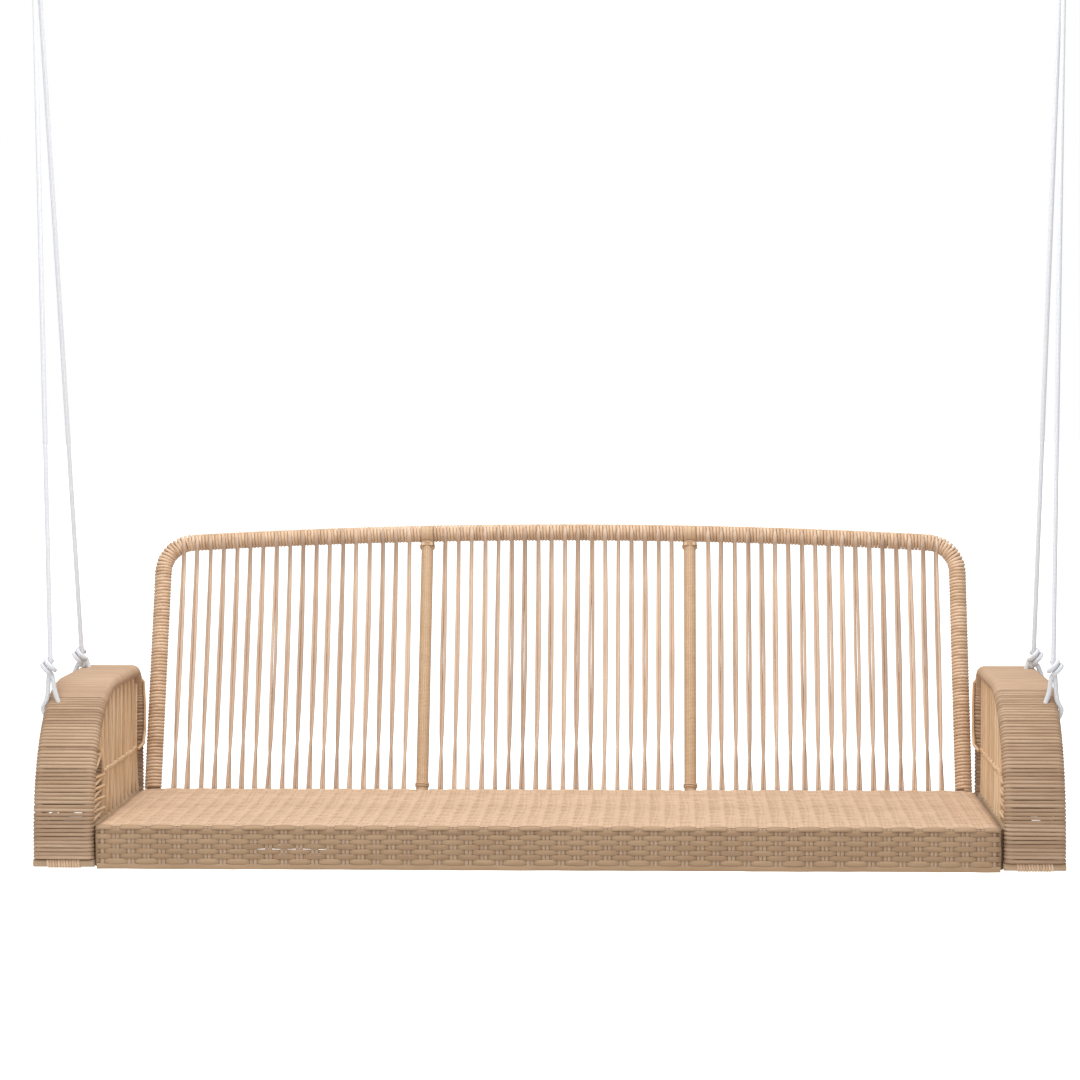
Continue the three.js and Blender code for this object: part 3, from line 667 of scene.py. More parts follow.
class BandTree(SolidTree):
    """Lays loops of cord round two side-by-side tubes, one after another along a flat route."""

    CORNER_STEPS = 3
    CORNER_SHARE = 0.499  # just under half the depth, so that two corners never meet

    def __init__(self) -> None:
        """Builds the tree."""
        sizes = ("Pitch", "Band Width", "Band Depth", "Cord", "Stray", "Tilt", "Sides")
        super().__init__("banded_cord", *sizes)
        given, tangent = self.given, self.add("InputTangent")
        curve = self.add("MeshToCurve", {0: given["Routes"]})
        stations = {"Curve": curve, "Length": given["Pitch"]}
        curve = self.add("ResampleCurve", stations, mode="LENGTH")
        slip = self.calc("MULTIPLY", self.chance(Min=-0.5, Max=0.5), given["Stray"])
        curve = self.store(curve, "heading", tangent, "FLOAT_VECTOR")
        offset = self.vector("SCALE", tangent, slip)
        curve = self.add("SetPosition", {"Geometry": curve, "Offset": offset})
        aim = output(
            self.tree,
            "FunctionNodeAlignRotationToVector",
            {"Vector": self.named("heading")},
            axis="Z",
            pivot_axis="X",
        )
        width, depth = (
            self.calc("SUBTRACT", given[size], given["Cord"]) for size in ("Band Width", "Band Depth")
        )
        flat = {"Width": width, "Height": depth}
        flat = self.add("CurvePrimitiveQuadrilateral", flat, mode="RECTANGLE")
        radius = self.calc("MULTIPLY", depth, self.CORNER_SHARE)
        rounded = {"Curve": flat, "Count": self.CORNER_STEPS, "Radius": radius}
        rounded = self.measured(self.add("FilletCurve", rounded, mode="POLY"))
        loop = {"Curve": rounded, "Profile Curve": self.section("Cord", "Cord")}
        loop = self.add("CurveToMesh", loop)
        placed = {"Points": curve, "Instance": loop, "Rotation": aim}
        placed = self.add("InstanceOnPoints", placed)
        low = self.calc("MULTIPLY", given["Tilt"], -1.0)
        lean = {1: self.chance(Min=low, Max=given["Tilt"])}
        tilt = output(self.tree, "ShaderNodeCombineXYZ", lean)
        tilted = self.add("RotateInstances", {"Instances": placed, "Rotation": tilt})
        self.end(self.store(tilted, "tone", self.chance(), "FLOAT", "INSTANCE"))


# ---- Workshop ----------------------------------------------------------------------------------


@dataclass
class Place:
    """Turns the swing's own millimetres into the frame's metres.

    Attributes:
        low: The apron's lowest, foremost, leftmost corner in the frame.
        recline: How far the backrest leans, in radians.
        back_y: Where the backrest's plane crosses the seat's surface.
        seat_z: Height of the seat's surface.
    """

    low: Vector
    recline: float = math.radians(19.3)
    back_y: float = 553.0
    seat_z: float = 88.0

    def at(self, x: Any, y: Any, z: Any) -> np.ndarray:
        """Points given from the middle of the apron's bottom edge.

        Args:
            x: Along the seat.
            y: To the rear of the apron's face.
            z: Above its bottom edge.

        Returns:
            The points in the frame, one row each.
        """
        grid = np.broadcast_arrays(*[np.asarray(v, float) for v in (x, y, z)])
        return np.stack(grid, axis=-1) * MM + np.array([0.0, self.low.y, self.low.z])

    def on_back(self, x: Any, up: Any, out: Any = 0.0) -> np.ndarray:
        """Points given on the leaning backrest.

        Args:
            x: Along the seat.
            up: Along the recline, over the seat's surface.
            out: In front of the backrest's plane.

        Returns:
            The points in the frame, one row each.
        """
        up, out = np.asarray(up, float), np.asarray(out, float)
        lean, rise = math.sin(self.recline), math.cos(self.recline)
        return self.at(x, self.back_y + up * lean - out * rise, self.seat_z + up * rise + out * lean)

    @property
    def back_out(self) -> np.ndarray:
        """The direction straight out of the backrest's front."""
        return np.array([0.0, -math.cos(self.recline), math.sin(self.recline)])


@dataclass
class Workshop:
    """The tools that every sub-assembly uses: the three trees, the finishes and the places."""

    place: Place
    finishes: dict[str, Material]
    swept: SweptTree = field(default_factory=SweptTree)
    wound: WoundTree = field(default_factory=WoundTree)
    banded: BandTree = field(default_factory=BandTree)

    def sweep(
        self,
        name: str,
        cords: list[Cord],
        finish: str,
        width: float,
        thickness: float | None = None,
        sides: int = 6,
        seed: int = 1,
    ) -> Piece:
        """Gives routes their section and finish.

        Args:
            name: The piece's name.
            cords: Its routes.
            finish: The finish's name.
            width: The section's width in mm, across the facing direction.
            thickness: Its thickness in mm, or None for a round one.
            sides: Points round the section.
            seed: Where the tones start.

        Returns:
            The piece.
        """
        # A section with no corner at its sides is drawn wider, so that it spans its full width.
        spread = 1.0 if sides % 4 == 0 else 1 / math.cos(math.pi / sides)
        values = {
            "Width": (thickness or width) * MM,
            "Thickness": width * spread * MM,
            "Sides": sides,
            "Seed": seed,
            "Finish": self.finishes[finish],
        }
        return self.swept.make(name, cords, values)

    def wind(
        self, name: str, cord: Cord, finish: str, steps: int, seed: int, **sizes: float
    ) -> Piece:
        """Winds a cord or tape on a tube.

        Args:
            name: The piece's name.
            cord: The tube's centre line.
            finish: The finish's name.
            steps: Points a turn.
            seed: Where the tones start.
            **sizes: In mm, the core that it lies at, its pitch, width and thickness, and its stray.

        Returns:
            The piece.
        """
        values = {label.title(): size * MM for label, size in sizes.items()}
        values |= {"Steps": steps, "Sides": 6, "Seed": seed, "Finish": self.finishes[finish]}
        return self.wound.make(name, [cord], values)

    def deliver(self, piece: Piece, body: str, slot: str, *nodes: str) -> Piece:
        """Puts a finished piece on its body, in place of the frame's own nodes.

        Args:
            piece: The piece.
            body: The body that it rides on.
            slot: The piece's material slot; not used.
            *nodes: The nodes that it stands for, if any.

        Returns:
            The piece.
        """
        if nodes:
            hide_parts(*nodes)
        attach(piece, body)
        log.info("%s: %d faces on %s", piece.name, len(piece.data.polygons), body)
        return piece


def arc(
    centre: tuple[float, float], radii: tuple[float, float], start: float, end: float, steps: int
) -> np.ndarray:
    """Points of an elliptical arc.

    Args:
        centre: Its centre.
        radii: Its two radii.
        start: First angle in degrees.
        end: Last angle in degrees.
        steps: How many steps it takes.

    Returns:
        The points, one row each.
    """
    angles = np.radians(np.linspace(start, end, steps + 1))
    return np.array(centre) + np.array(radii) * np.stack([np.cos(angles), np.sin(angles)], axis=1)


def smooth_route(points: np.ndarray, count: int) -> np.ndarray:
    """Runs a smooth curve through points, and spaces its own points evenly.

    Args:
        points: The points that it passes, one row each.
        count: How many points it gets.

    Returns:
        The curve's points.
    """
    points = np.asarray(points, float)
    padded = np.vstack([2 * points[0] - points[1], points, 2 * points[-1] - points[-2]])
    t = np.linspace(0, 1, 12, endpoint=False)[:, None]
    dense = []
    for i in range(1, len(padded) - 2):
        before, here, ahead, after = padded[i - 1 : i + 3]
        bend = 2 * before - 5 * here + 4 * ahead - after
        turn = 3 * here - before - 3 * ahead + after
        dense.append(0.5 * (2 * here + (ahead - before) * t + bend * t**2 + turn * t**3))
    dense = np.vstack([*dense, points[-1]])
    walked = np.concatenate([[0], np.cumsum(np.linalg.norm(np.diff(dense, axis=0), axis=1))])
    marks = np.linspace(0, walked[-1], count)
    return np.stack([np.interp(marks, walked, dense[:, k]) for k in range(3)], axis=1)


# ---- Ropes -------------------------------------------------------------------------------------


@dataclass
class Ropes:
    """The four ropes, their hitches on the arms and the knotted eyes at the top."""

    shop: Workshop
    rope: float = 10.0
    hoop_x: float = 1025.5
    knot_x: float = 1028.5
    hitches: tuple = (("front", 157.5, 86.0), ("rear", 487.5, 40.0))
    hitch_loop: float = 19.3
    knot: float = 40.0
    splay: tuple = ((Side.LEFT, 73.5), (Side.RIGHT, 48.5))
    hang_y: float = 399.0
    hang_height: float = 2088.0
    eye_reach: float = 63.4
    eye_loop: float = 11.0
    eye_knot: float = 44.0
    eye_girth: float = 10.4
    squeeze: float = 0.98  # a knotted rope's thickness, as a share of a free one's
    points: int = 150  # along a knotted rope
    gap: float = 0.4
    bow_start: float = 60.0
    bow: tuple[float, float] = (270.5, 285.5)  # the outer tube's centre line: run and rise
    bow_y: float = 290.0

    def hoop_height(self, y: float) -> float:
        """Height of the arm's outer tube where a rope is hitched to it."""
        ahead = max(0.0, self.bow_y - y) / self.bow[0]
        return self.bow_start + self.bow[1] * math.sqrt(1 - ahead * ahead)

    def hitch(self, side: Side, end: str, y: float, lift: float, toward: np.ndarray) -> Piece:
        """Ties a rope round the arm's tube: a loop, two legs and a knot of three turns.

        Args:
            side: The arm.
            end: Its front or rear rope.
            y: Where along the arm.
            lift: The knot's height over the tube.
            toward: The direction in which the rope leaves.

        Returns:
            The hitch.
        """
        sign, tube_z = side.value, self.hoop_height(y)
        knot = np.array([sign * self.knot_x, y, tube_z + lift])
        outward = sign * RIGHT
        # The rope comes down through the knot, round the tube from outside and up again, then
        # turns slantwise round itself and tucks its end in above.
        radii = (self.hitch_loop - 2.0, self.hitch_loop + 3.5)
        around = arc((self.hoop_x + 2.5, tube_z), radii, 5, -196, 16)
        loop = [np.array([sign * x, y, z]) for x, z in around]
        axis = UP * 0.78 - outward * 0.62
        across = UP * 0.62 + outward * 0.78
        turns = np.linspace(0, 1, 30)[:, None]
        angles = math.pi * (0.9 + 3.6 * turns)
        girth = 11.4 + 2.6 * np.sin(math.pi * turns)
        ring = (across * np.cos(angles) + REAR * np.sin(angles)) * girth
        coil = knot + outward * 3 + axis * (-11 + 21 * turns) + ring
        route = [
            knot + toward * (self.knot / 2 + 6),
            knot + toward * 8,
            knot + outward * 4 - UP * 20,
            knot + outward * 8 - UP * (lift - 22),
            *loop,
            knot - outward * 8 - UP * (lift - 36),
            knot - outward * 4 - UP * 22,
            *coil,
            coil[-1] + outward * 8 + UP * 5 - REAR * 3,
        ]
        return self.tied(f"hitch_knot_{side.word}_{end}", route, seed=3)

    def eye(self, side: Side, hook: np.ndarray) -> Piece:
        """Ties the eye that turns in a snap hook: a loop of rope over a knot of four turns.

        Args:
            side: The hook's side.
            hook: Where the loop's middle hangs.

        Returns:
            The eye.
        """
        foot = hook - UP * (self.eye_loop + self.rope / 2 + self.eye_knot - 4)
        ring = arc((hook[1], hook[2]), (self.eye_loop, self.eye_loop), -60, 240, 18)
        loop = [np.array([hook[0], y, z]) for y, z in ring]
        turns = np.linspace(0, 1, 42)[:, None]
        angles = 2 * math.pi * 3.4 * turns
        centres = foot + UP * (self.eye_knot - 8) * (1 - turns)
        coil = centres + (RIGHT * np.cos(angles) + REAR * np.sin(angles)) * self.eye_girth
        inner = [foot + UP * up + REAR * 3.0 for up in (-4, self.eye_knot * 0.5, self.eye_knot - 2)]
        route = [*inner, *loop, *coil, coil[-1] - UP * 9 + RIGHT * 3]
        return self.tied(f"rope_eye_knot_{side.word}", route)

    def tied(self, name: str, route: list[np.ndarray], seed: int = 1) -> Piece:
        """Makes a knotted length of rope.

        Args:
            name: The piece's name.
            route: The places that it passes, in the swing's millimetres.
            seed: Where its tone starts.

        Returns:
            The piece.
        """
        points = self.shop.place.at(*smooth_route(np.array(route), self.points).T)
        girth = self.rope * self.squeeze
        return self.shop.sweep(name, [Cord(points)], "rope", girth, sides=10, seed=seed)

    def build(self) -> None:
        """Makes the ropes, their hitches and their eyes."""
        place, shop = self.shop.place, self.shop
        for side, splay in self.splay:
            hook = np.array([side.value * (self.hoop_x + splay), self.hang_y, self.hang_height])
            eye = self.eye(side, hook)
            shop.deliver(eye, SWING, "rope", f"rope_eye_{side.word}")
            for end, y, lift in self.hitches:
                knot = np.array([side.value * self.knot_x, y, self.hoop_height(y) + lift])
                toward = (hook - knot) / np.linalg.norm(hook - knot)
                start = knot + toward * (self.knot / 2 + self.gap)
                stop = hook - toward * self.eye_reach
                path = place.at(*np.linspace(start, stop, 25).T)
                name = f"{side.word}_{end}"
                rope = shop.sweep(f"white_rope_{name}", [Cord(path)], "rope", self.rope, sides=12)
                hitch = self.hitch(side, end, y, lift, toward)
                shop.deliver(hitch, SWING, "rope", f"rope_hitch_{name}")
                shop.deliver(rope, SWING, "rope", f"rope_{name}")


@dataclass
class SnapHooks:
    """The two snap hooks that hold the rope eyes, and their sprung gates."""

    shop: Workshop
    ropes: Ropes
    wire: float = 8.0
    gate_wire: float = 7.0
    radius: float = 17.0
    straight: float = 40.0
    shoulder: float = 4.0
    slot: float = 2.0  # bare wire between a bend and the gate's nose or heel

    def build(self) -> None:
        """Makes both hooks with their gates."""
        at, ropes, radius = self.shop.place.at, self.ropes, self.radius
        for side, splay in ropes.splay:
            middle = side.value * (ropes.hoop_x + splay)
            inward = -side.value  # the gate faces the middle of the seat
            low = arc((0, radius), (radius, radius), 0, -180, 20)
            high = arc((0, radius + self.straight), (radius, radius), 180, 0, 20)
            ends = [[(radius, radius + h)] for h in (self.slot, self.straight - self.slot)]
            outline = np.vstack([ends[0], low, high, ends[1]])
            across = middle + inward * outline[:, 0]
            wire = Cord(at(across, ropes.hang_y, ropes.hang_height + outline[:, 1]), 1.0, REAR)
            name = f"snap_hook_wire_{side.word}"
            hook = self.shop.sweep(name, [wire], "zinc", self.wire, sides=16)
            self.shop.deliver(hook, HOOKS, "zinc", f"snap_hook_{side.word}")
            foot, head = radius + self.shoulder, radius + self.straight - self.shoulder
            heights = ropes.hang_height + np.array([foot, foot + 0.8, head - 0.8, head])
            gate_x = middle + inward * radius
            rod = Cord(at(gate_x, ropes.hang_y, heights), np.array([0.86, 1.0, 1.0, 0.86]), REAR)
            pin = at(gate_x, ropes.hang_y + np.array([-3.9, 3.9]), heights[0] + 3.5)
            parts, name = [rod, Cord(pin, 0.36, RIGHT)], f"snap_gate_{side.word}"
            gate = self.shop.sweep(name, parts, "zinc", self.gate_wire, sides=16)
            self.shop.deliver(gate, f"gate_{side.word}", "zinc", f"snap_hook_gate_{side.word}")


# ---- Seat --------------------------------------------------------------------------------------


@dataclass
class WovenSeat:
    """The flat wicker of the seat and its apron, woven over and under pairs of strips."""

    shop: Workshop
    half_width: float = 907.0
    depth: float = 545.0
    height: float = 88.0
    row: float = 10.0
    first_row: float = 12.0
    warp_pitch: float = 31.0
    row_thickness: float = 2.6
    strip: float = 7.0
    strip_thickness: float = 1.9
    pair: float = 7.6  # between the middles of a pair's two strips
    edge: float = 11.8
    edge_thickness: float = 4.4
    fold: float = 7.0
    lift: float = 1.4  # the rows rise and dip this far
    skin: float = 2.4  # middle of the weave under its surface
    sway: float = 9.0  # the pairs bow this far sideways on the way to the rear
    end_post_x: float = 863.0
    mid_post: tuple[float, float] = (277.0, 310.0)
    slack: tuple[float, float] = (-583.0, -437.0)  # two of the apron's rows are loose here
    seed: int = 11
    repeats: int = 33  # a row's overs and unders, more than its length takes
    # One over and under of a row, from the middle of its long run over a gap between two pairs.
    steps: tuple[float, ...] = (0.0, 0.42, 0.66, 0.80, 1.0, 1.20, 1.34, 1.58)
    heights: tuple[float, ...] = (1.0, 0.92, 0.45, -0.7, -1.0, -0.7, 0.45, 0.92)
    girths: tuple[float, ...] = (1.14, 1.11, 1.03, 0.95, 0.92, 0.95, 1.03, 1.11)
    # Painted shade in the row's colour at each step, darkest where it passes under a pair.
    painted_shades: tuple[float, ...] = (0.0, 0.0, 0.06, 0.48, 0.5, 0.48, 0.06, 0.0)

    def row_cord(
        self, spans: tuple[float, float], number: int, lay: Callable, facing: np.ndarray, tucks: bool
    ) -> Cord:
        """One row of wicker along the seat.

        Args:
            spans: Where it starts and ends.
            number: Its number, which says where it passes under.
            lay: Gives points from places along the row and heights over the weave's middle.
            facing: The direction in which the weave faces.
            tucks: Whether its ends turn under the side rails.

        Returns:
            The row.
        """
        start, end = spans
        period = 2 * self.warp_pitch
        first = -(number % 2) * self.warp_pitch - (self.repeats // 2) * period
        starts = np.arange(self.repeats)[:, None] * period + first
        x = (starts + np.array(self.steps) * self.warp_pitch).ravel()
        shapes = [np.tile(v, self.repeats) for v in (self.heights, self.girths, self.painted_shades)]
        inside = (x > start + 2) & (x < end - 2)
        x = x[inside]
        height, girth, painted_shade = (v[inside] for v in shapes)
        stray = np.random.default_rng(self.seed + number + 40)
        height = self.lift * height + stray.normal(0, 0.08, len(x))
        girth = girth + stray.normal(0, 0.012, len(x))
        tucked = -4.5 if tucks else 0.0
        reach = 1.0 if tucks else 0.0
        x = np.concatenate([[start + 2 * reach, start - reach], x, [end + reach, end - 2 * reach]])
        x += stray.normal(0, 0.4, len(x))
        height = np.concatenate([[tucked, tucked / 3], height, [tucked / 3, tucked]])
        girth = np.concatenate([[0.98, 1.04], girth, [1.04, 0.98]])
        # The row's two ends take painted shade.
        painted_shade = np.concatenate([[0.5, 0.0], painted_shade, [0.0, 0.5]])
        return Cord(lay(x, height), girth, facing, painted_shade)

    def top_rows(self) -> list[Cord]:
        """The rows of the seat's top, parted round the posts at its rear edge."""
        place = self.shop.place
        rows = []
        count = int((self.depth - self.first_row) / self.row) + 1
        middle = self.height - self.skin
        for number in range(count):
            y = self.first_row + self.row * number
            spans = [(-self.half_width, self.half_width)]
            if y > self.depth - 12:
                left, right = self.mid_post
                spans = [(-self.end_post_x, -right), (-left, left), (right, self.end_post_x)]
            for span in spans:
                row = self.row_cord(
                    span,
                    number,
                    lambda x, h, y=y: place.at(x, y, middle + h),
                    UP,
                    len(spans) == 1,
                )
                row.painted_shade = row.painted_shade * 0.3  # little shade gathers in the top, which is pulled flat
                rows.append(row)
        return rows

    @property
    def apron_levels(self) -> list[float]:
        """Heights of the apron's rows, from the fold down."""
        highest = self.height - self.fold - self.row * 0.45
        return [highest - self.row * i for i in range(int(highest / self.row))]

    def apron_rows(self) -> list[Cord]:
        """The row on the fold at the seat's front, and the apron's rows under it."""
        place = self.shop.place
        ends = (-self.half_width, self.half_width)
        corner = self.fold - (self.fold - self.skin) * SLOPE
        rows = [
            self.row_cord(
                ends,
                1,
                lambda x, h: place.at(x, corner - h * SLOPE, self.height - corner + h * SLOPE),
                (UP - REAR) * SLOPE,
                True,
            )
        ]
        for number, z in enumerate(self.apron_levels):
            row = self.row_cord(
                ends,
                number,
                lambda x, h, z=z: place.at(x, self.skin - h, z),
                -REAR,
                True,
            )
            if number in (3, 4):
                x = row.route[:, 0] / MM
                row.girth = row.girth - 0.16 * ((x > self.slack[0]) & (x < self.slack[1]))
            rows.append(row)
        return rows

    def warp_strips(self) -> list[Cord]:
        """The strips that run from the seat's rear edge over the fold and down the apron."""
        last = int(self.half_width / self.warp_pitch)
        return [
            self.warp_strip(number, x)
            for number in range(-last, last + 1)
            for x in np.array([-self.pair / 2, self.pair / 2]) + number * self.warp_pitch
            if abs(x) <= self.half_width - 5
        ]

    def warp_strip(self, number: int, x: float) -> Cord:
        """One strip of a pair, which bows sideways and passes over and under the rows.

        Args:
            number: Its pair's number, which says where it passes under.
            x: Where it starts at the rear.

        Returns:
            The strip.
        """
        rows = int((self.depth - self.first_row) / self.row) + 1
        middle = self.height - self.skin
        low, high = self.mid_post
        blocked = low - 6 < abs(x) < high + 6 or abs(x) > self.end_post_x - 4
        rear = self.depth - (22 if blocked else 1)

        def rise(row: int) -> float:
            """How far the strip stands over the weave's middle at a row."""
            return -0.8 * self.lift * math.cos(math.pi * (number + row))

        # Each point is a place to the rear, a height, and the facing's rearward and upward parts.
        points = [(rear - 4, middle - 6, 0, 1), (rear, middle - 1.5, 0, 1)]
        for j in range(rows - 1, -1, -1):
            y = self.first_row + self.row * j
            if y < rear - 3:
                points.append((y, middle + rise(j), 0, 1))
        corner = self.fold - (self.fold - self.skin + rise(1)) * SLOPE
        points.append((corner, self.height - corner, -0.7, 0.7))
        points += [(self.skin - rise(j), z, -1, 0) for j, z in enumerate(self.apron_levels)]
        points += [(self.skin, 2.4, -1, 0), (self.skin + 5, 2.6, 0, -1)]
        y, z, out, up = np.array(points).T
        bow = self.sway * np.sin(math.pi * np.clip(y / self.depth, 0, 1)) ** 2
        bow *= (1 - (abs(x) / self.half_width) ** 6) * (up > 0)
        facing = np.stack([np.zeros(len(y)), out, up], axis=1)
        # The strips take painted shade where they turn down over the fold and the apron.
        return Cord(self.shop.place.at(x + bow, y, z), 1.0, facing, 0.4 * (up <= 0.7))

    def edge_cords(self) -> list[Cord]:
        """The plain row that edges the apron, and the filling cords down its two corners, which stand in
        the slit between apron and arm and carry heavy painted shade.
        """
        x = np.linspace(-self.half_width, self.half_width, 60)
        sag = np.random.default_rng(self.seed).normal(0, 0.25, len(x))
        at = self.shop.place.at
        edge = Cord(at(x, 2.6, 5.9 + sag), 1.0, -REAR)
        heights = np.linspace(2.5, self.height - 5, 12)
        # The corner cords take painted shade, 0.8 of the way to the shade colour.
        corners = [
            Cord(at(side.value * (self.half_width + out), y, heights), 0.58, -REAR, 0.8)
            for side in Side
            for out, y in ((3.2, 21.0), (9.5, 33.0))
        ]
        return [edge, *corners]

    def build(self) -> None:
        """Makes the weave of the top and of the apron."""
        # Name, cords, finish, width, thickness, points round the section, node.
        row = (self.row, self.row_thickness, 6)
        strip, edge = (self.strip, self.strip_thickness, 6), (self.edge, self.edge_thickness, 10)
        pieces = (
            ("seat_wicker_rows", self.top_rows(), "wicker", *row, "seat_weave"),
            ("apron_wicker_rows", self.apron_rows(), "apron", *row, "apron_weave"),
            ("seat_wicker_strips", self.warp_strips(), "warp", *strip, "apron_weave"),
            ("apron_edge_row", self.edge_cords(), "apron", *edge, "apron_weave"),
        )
        for number, (name, cords, *looks, node) in enumerate(pieces):
            piece = self.shop.sweep(name, cords, *looks, self.seed + number)
            self.shop.deliver(piece, SWING, "flat_wicker", node)


@dataclass
class SteelFrame:
    """The powder-coated tubes: seat rails, slats, apron hoop, sills, hoops and posts."""

    shop: Workshop
    half_width: float = 907.0
    rail_z: float = 70.1
    front_y: float = 17.9
    rear_y: float = 513.0
    seat_tube: float = 25.0
    slat_tube: float = 20.0
    slat_z: float = 72.6  # the slats touch the weave from below
    apron_tube: float = 16.0
    hoop: tuple[float, float, float] = (866.0, 13.4, 8.4)  # half its width, its place and height
    hoop_bend: float = 24.0

    def tubes(self, name: str, lines: list[np.ndarray], size: float, sides: int, *nodes: str) -> None:
        """Makes straight tubes of one size.

        Args:
            name: The piece's name.
            lines: The tubes' centre lines.
            size: Their diameter in mm.
            sides: Points round each.
            *nodes: The nodes that they stand for.
        """
        cords = [Cord(line, 1.0, UP) for line in lines]
        piece = self.shop.sweep(name, cords, "steel", size, sides=sides)
        self.shop.deliver(piece, SWING, "steel_tube", *nodes)

    def build(self) -> None:
        """Makes the seat's tubes."""
        at = self.shop.place.at
        ends = np.array([-self.half_width, self.half_width])
        side_x = self.half_width - self.seat_tube / 2
        run = np.array([self.front_y + 12.9, self.rear_y - 12.9])
        rails = [at(ends, y, self.rail_z) for y in (self.front_y, self.rear_y)]
        rails += [at(x, run, self.rail_z) for x in (-side_x, side_x)]
        names = ("seat_front_rail", "seat_rear_rail", "seat_side_rail_left", "seat_side_rail_right")
        self.tubes("seat_rails", rails, self.seat_tube, 20, *names)
        slats = [at(x, run, self.slat_z) for x in (-self.half_width / 2, 0.0, self.half_width / 2)]
        names = ("seat_slat_1", "seat_slat_2", "seat_slat_3")
        self.tubes("seat_slats", slats, self.slat_tube, 18, *names)
        (x, y, z), bend = self.hoop, self.hoop_bend
        corner = arc((x - bend, z + bend), (bend, bend), 0, -90, 8)
        right = np.vstack([[(x, self.rail_z - 13)], corner])
        outline = np.vstack([right, (right * [-1, 1])[::-1]])
        route = Cord(at(outline[:, 0], y, outline[:, 1]), 1.0, REAR)
        piece = self.shop.sweep("apron_tube", [route], "steel", self.apron_tube, sides=16)
        self.shop.deliver(piece, SWING, "steel_tube", "apron_hoop")


# ---- Backrest ----------------------------------------------------------------------------------


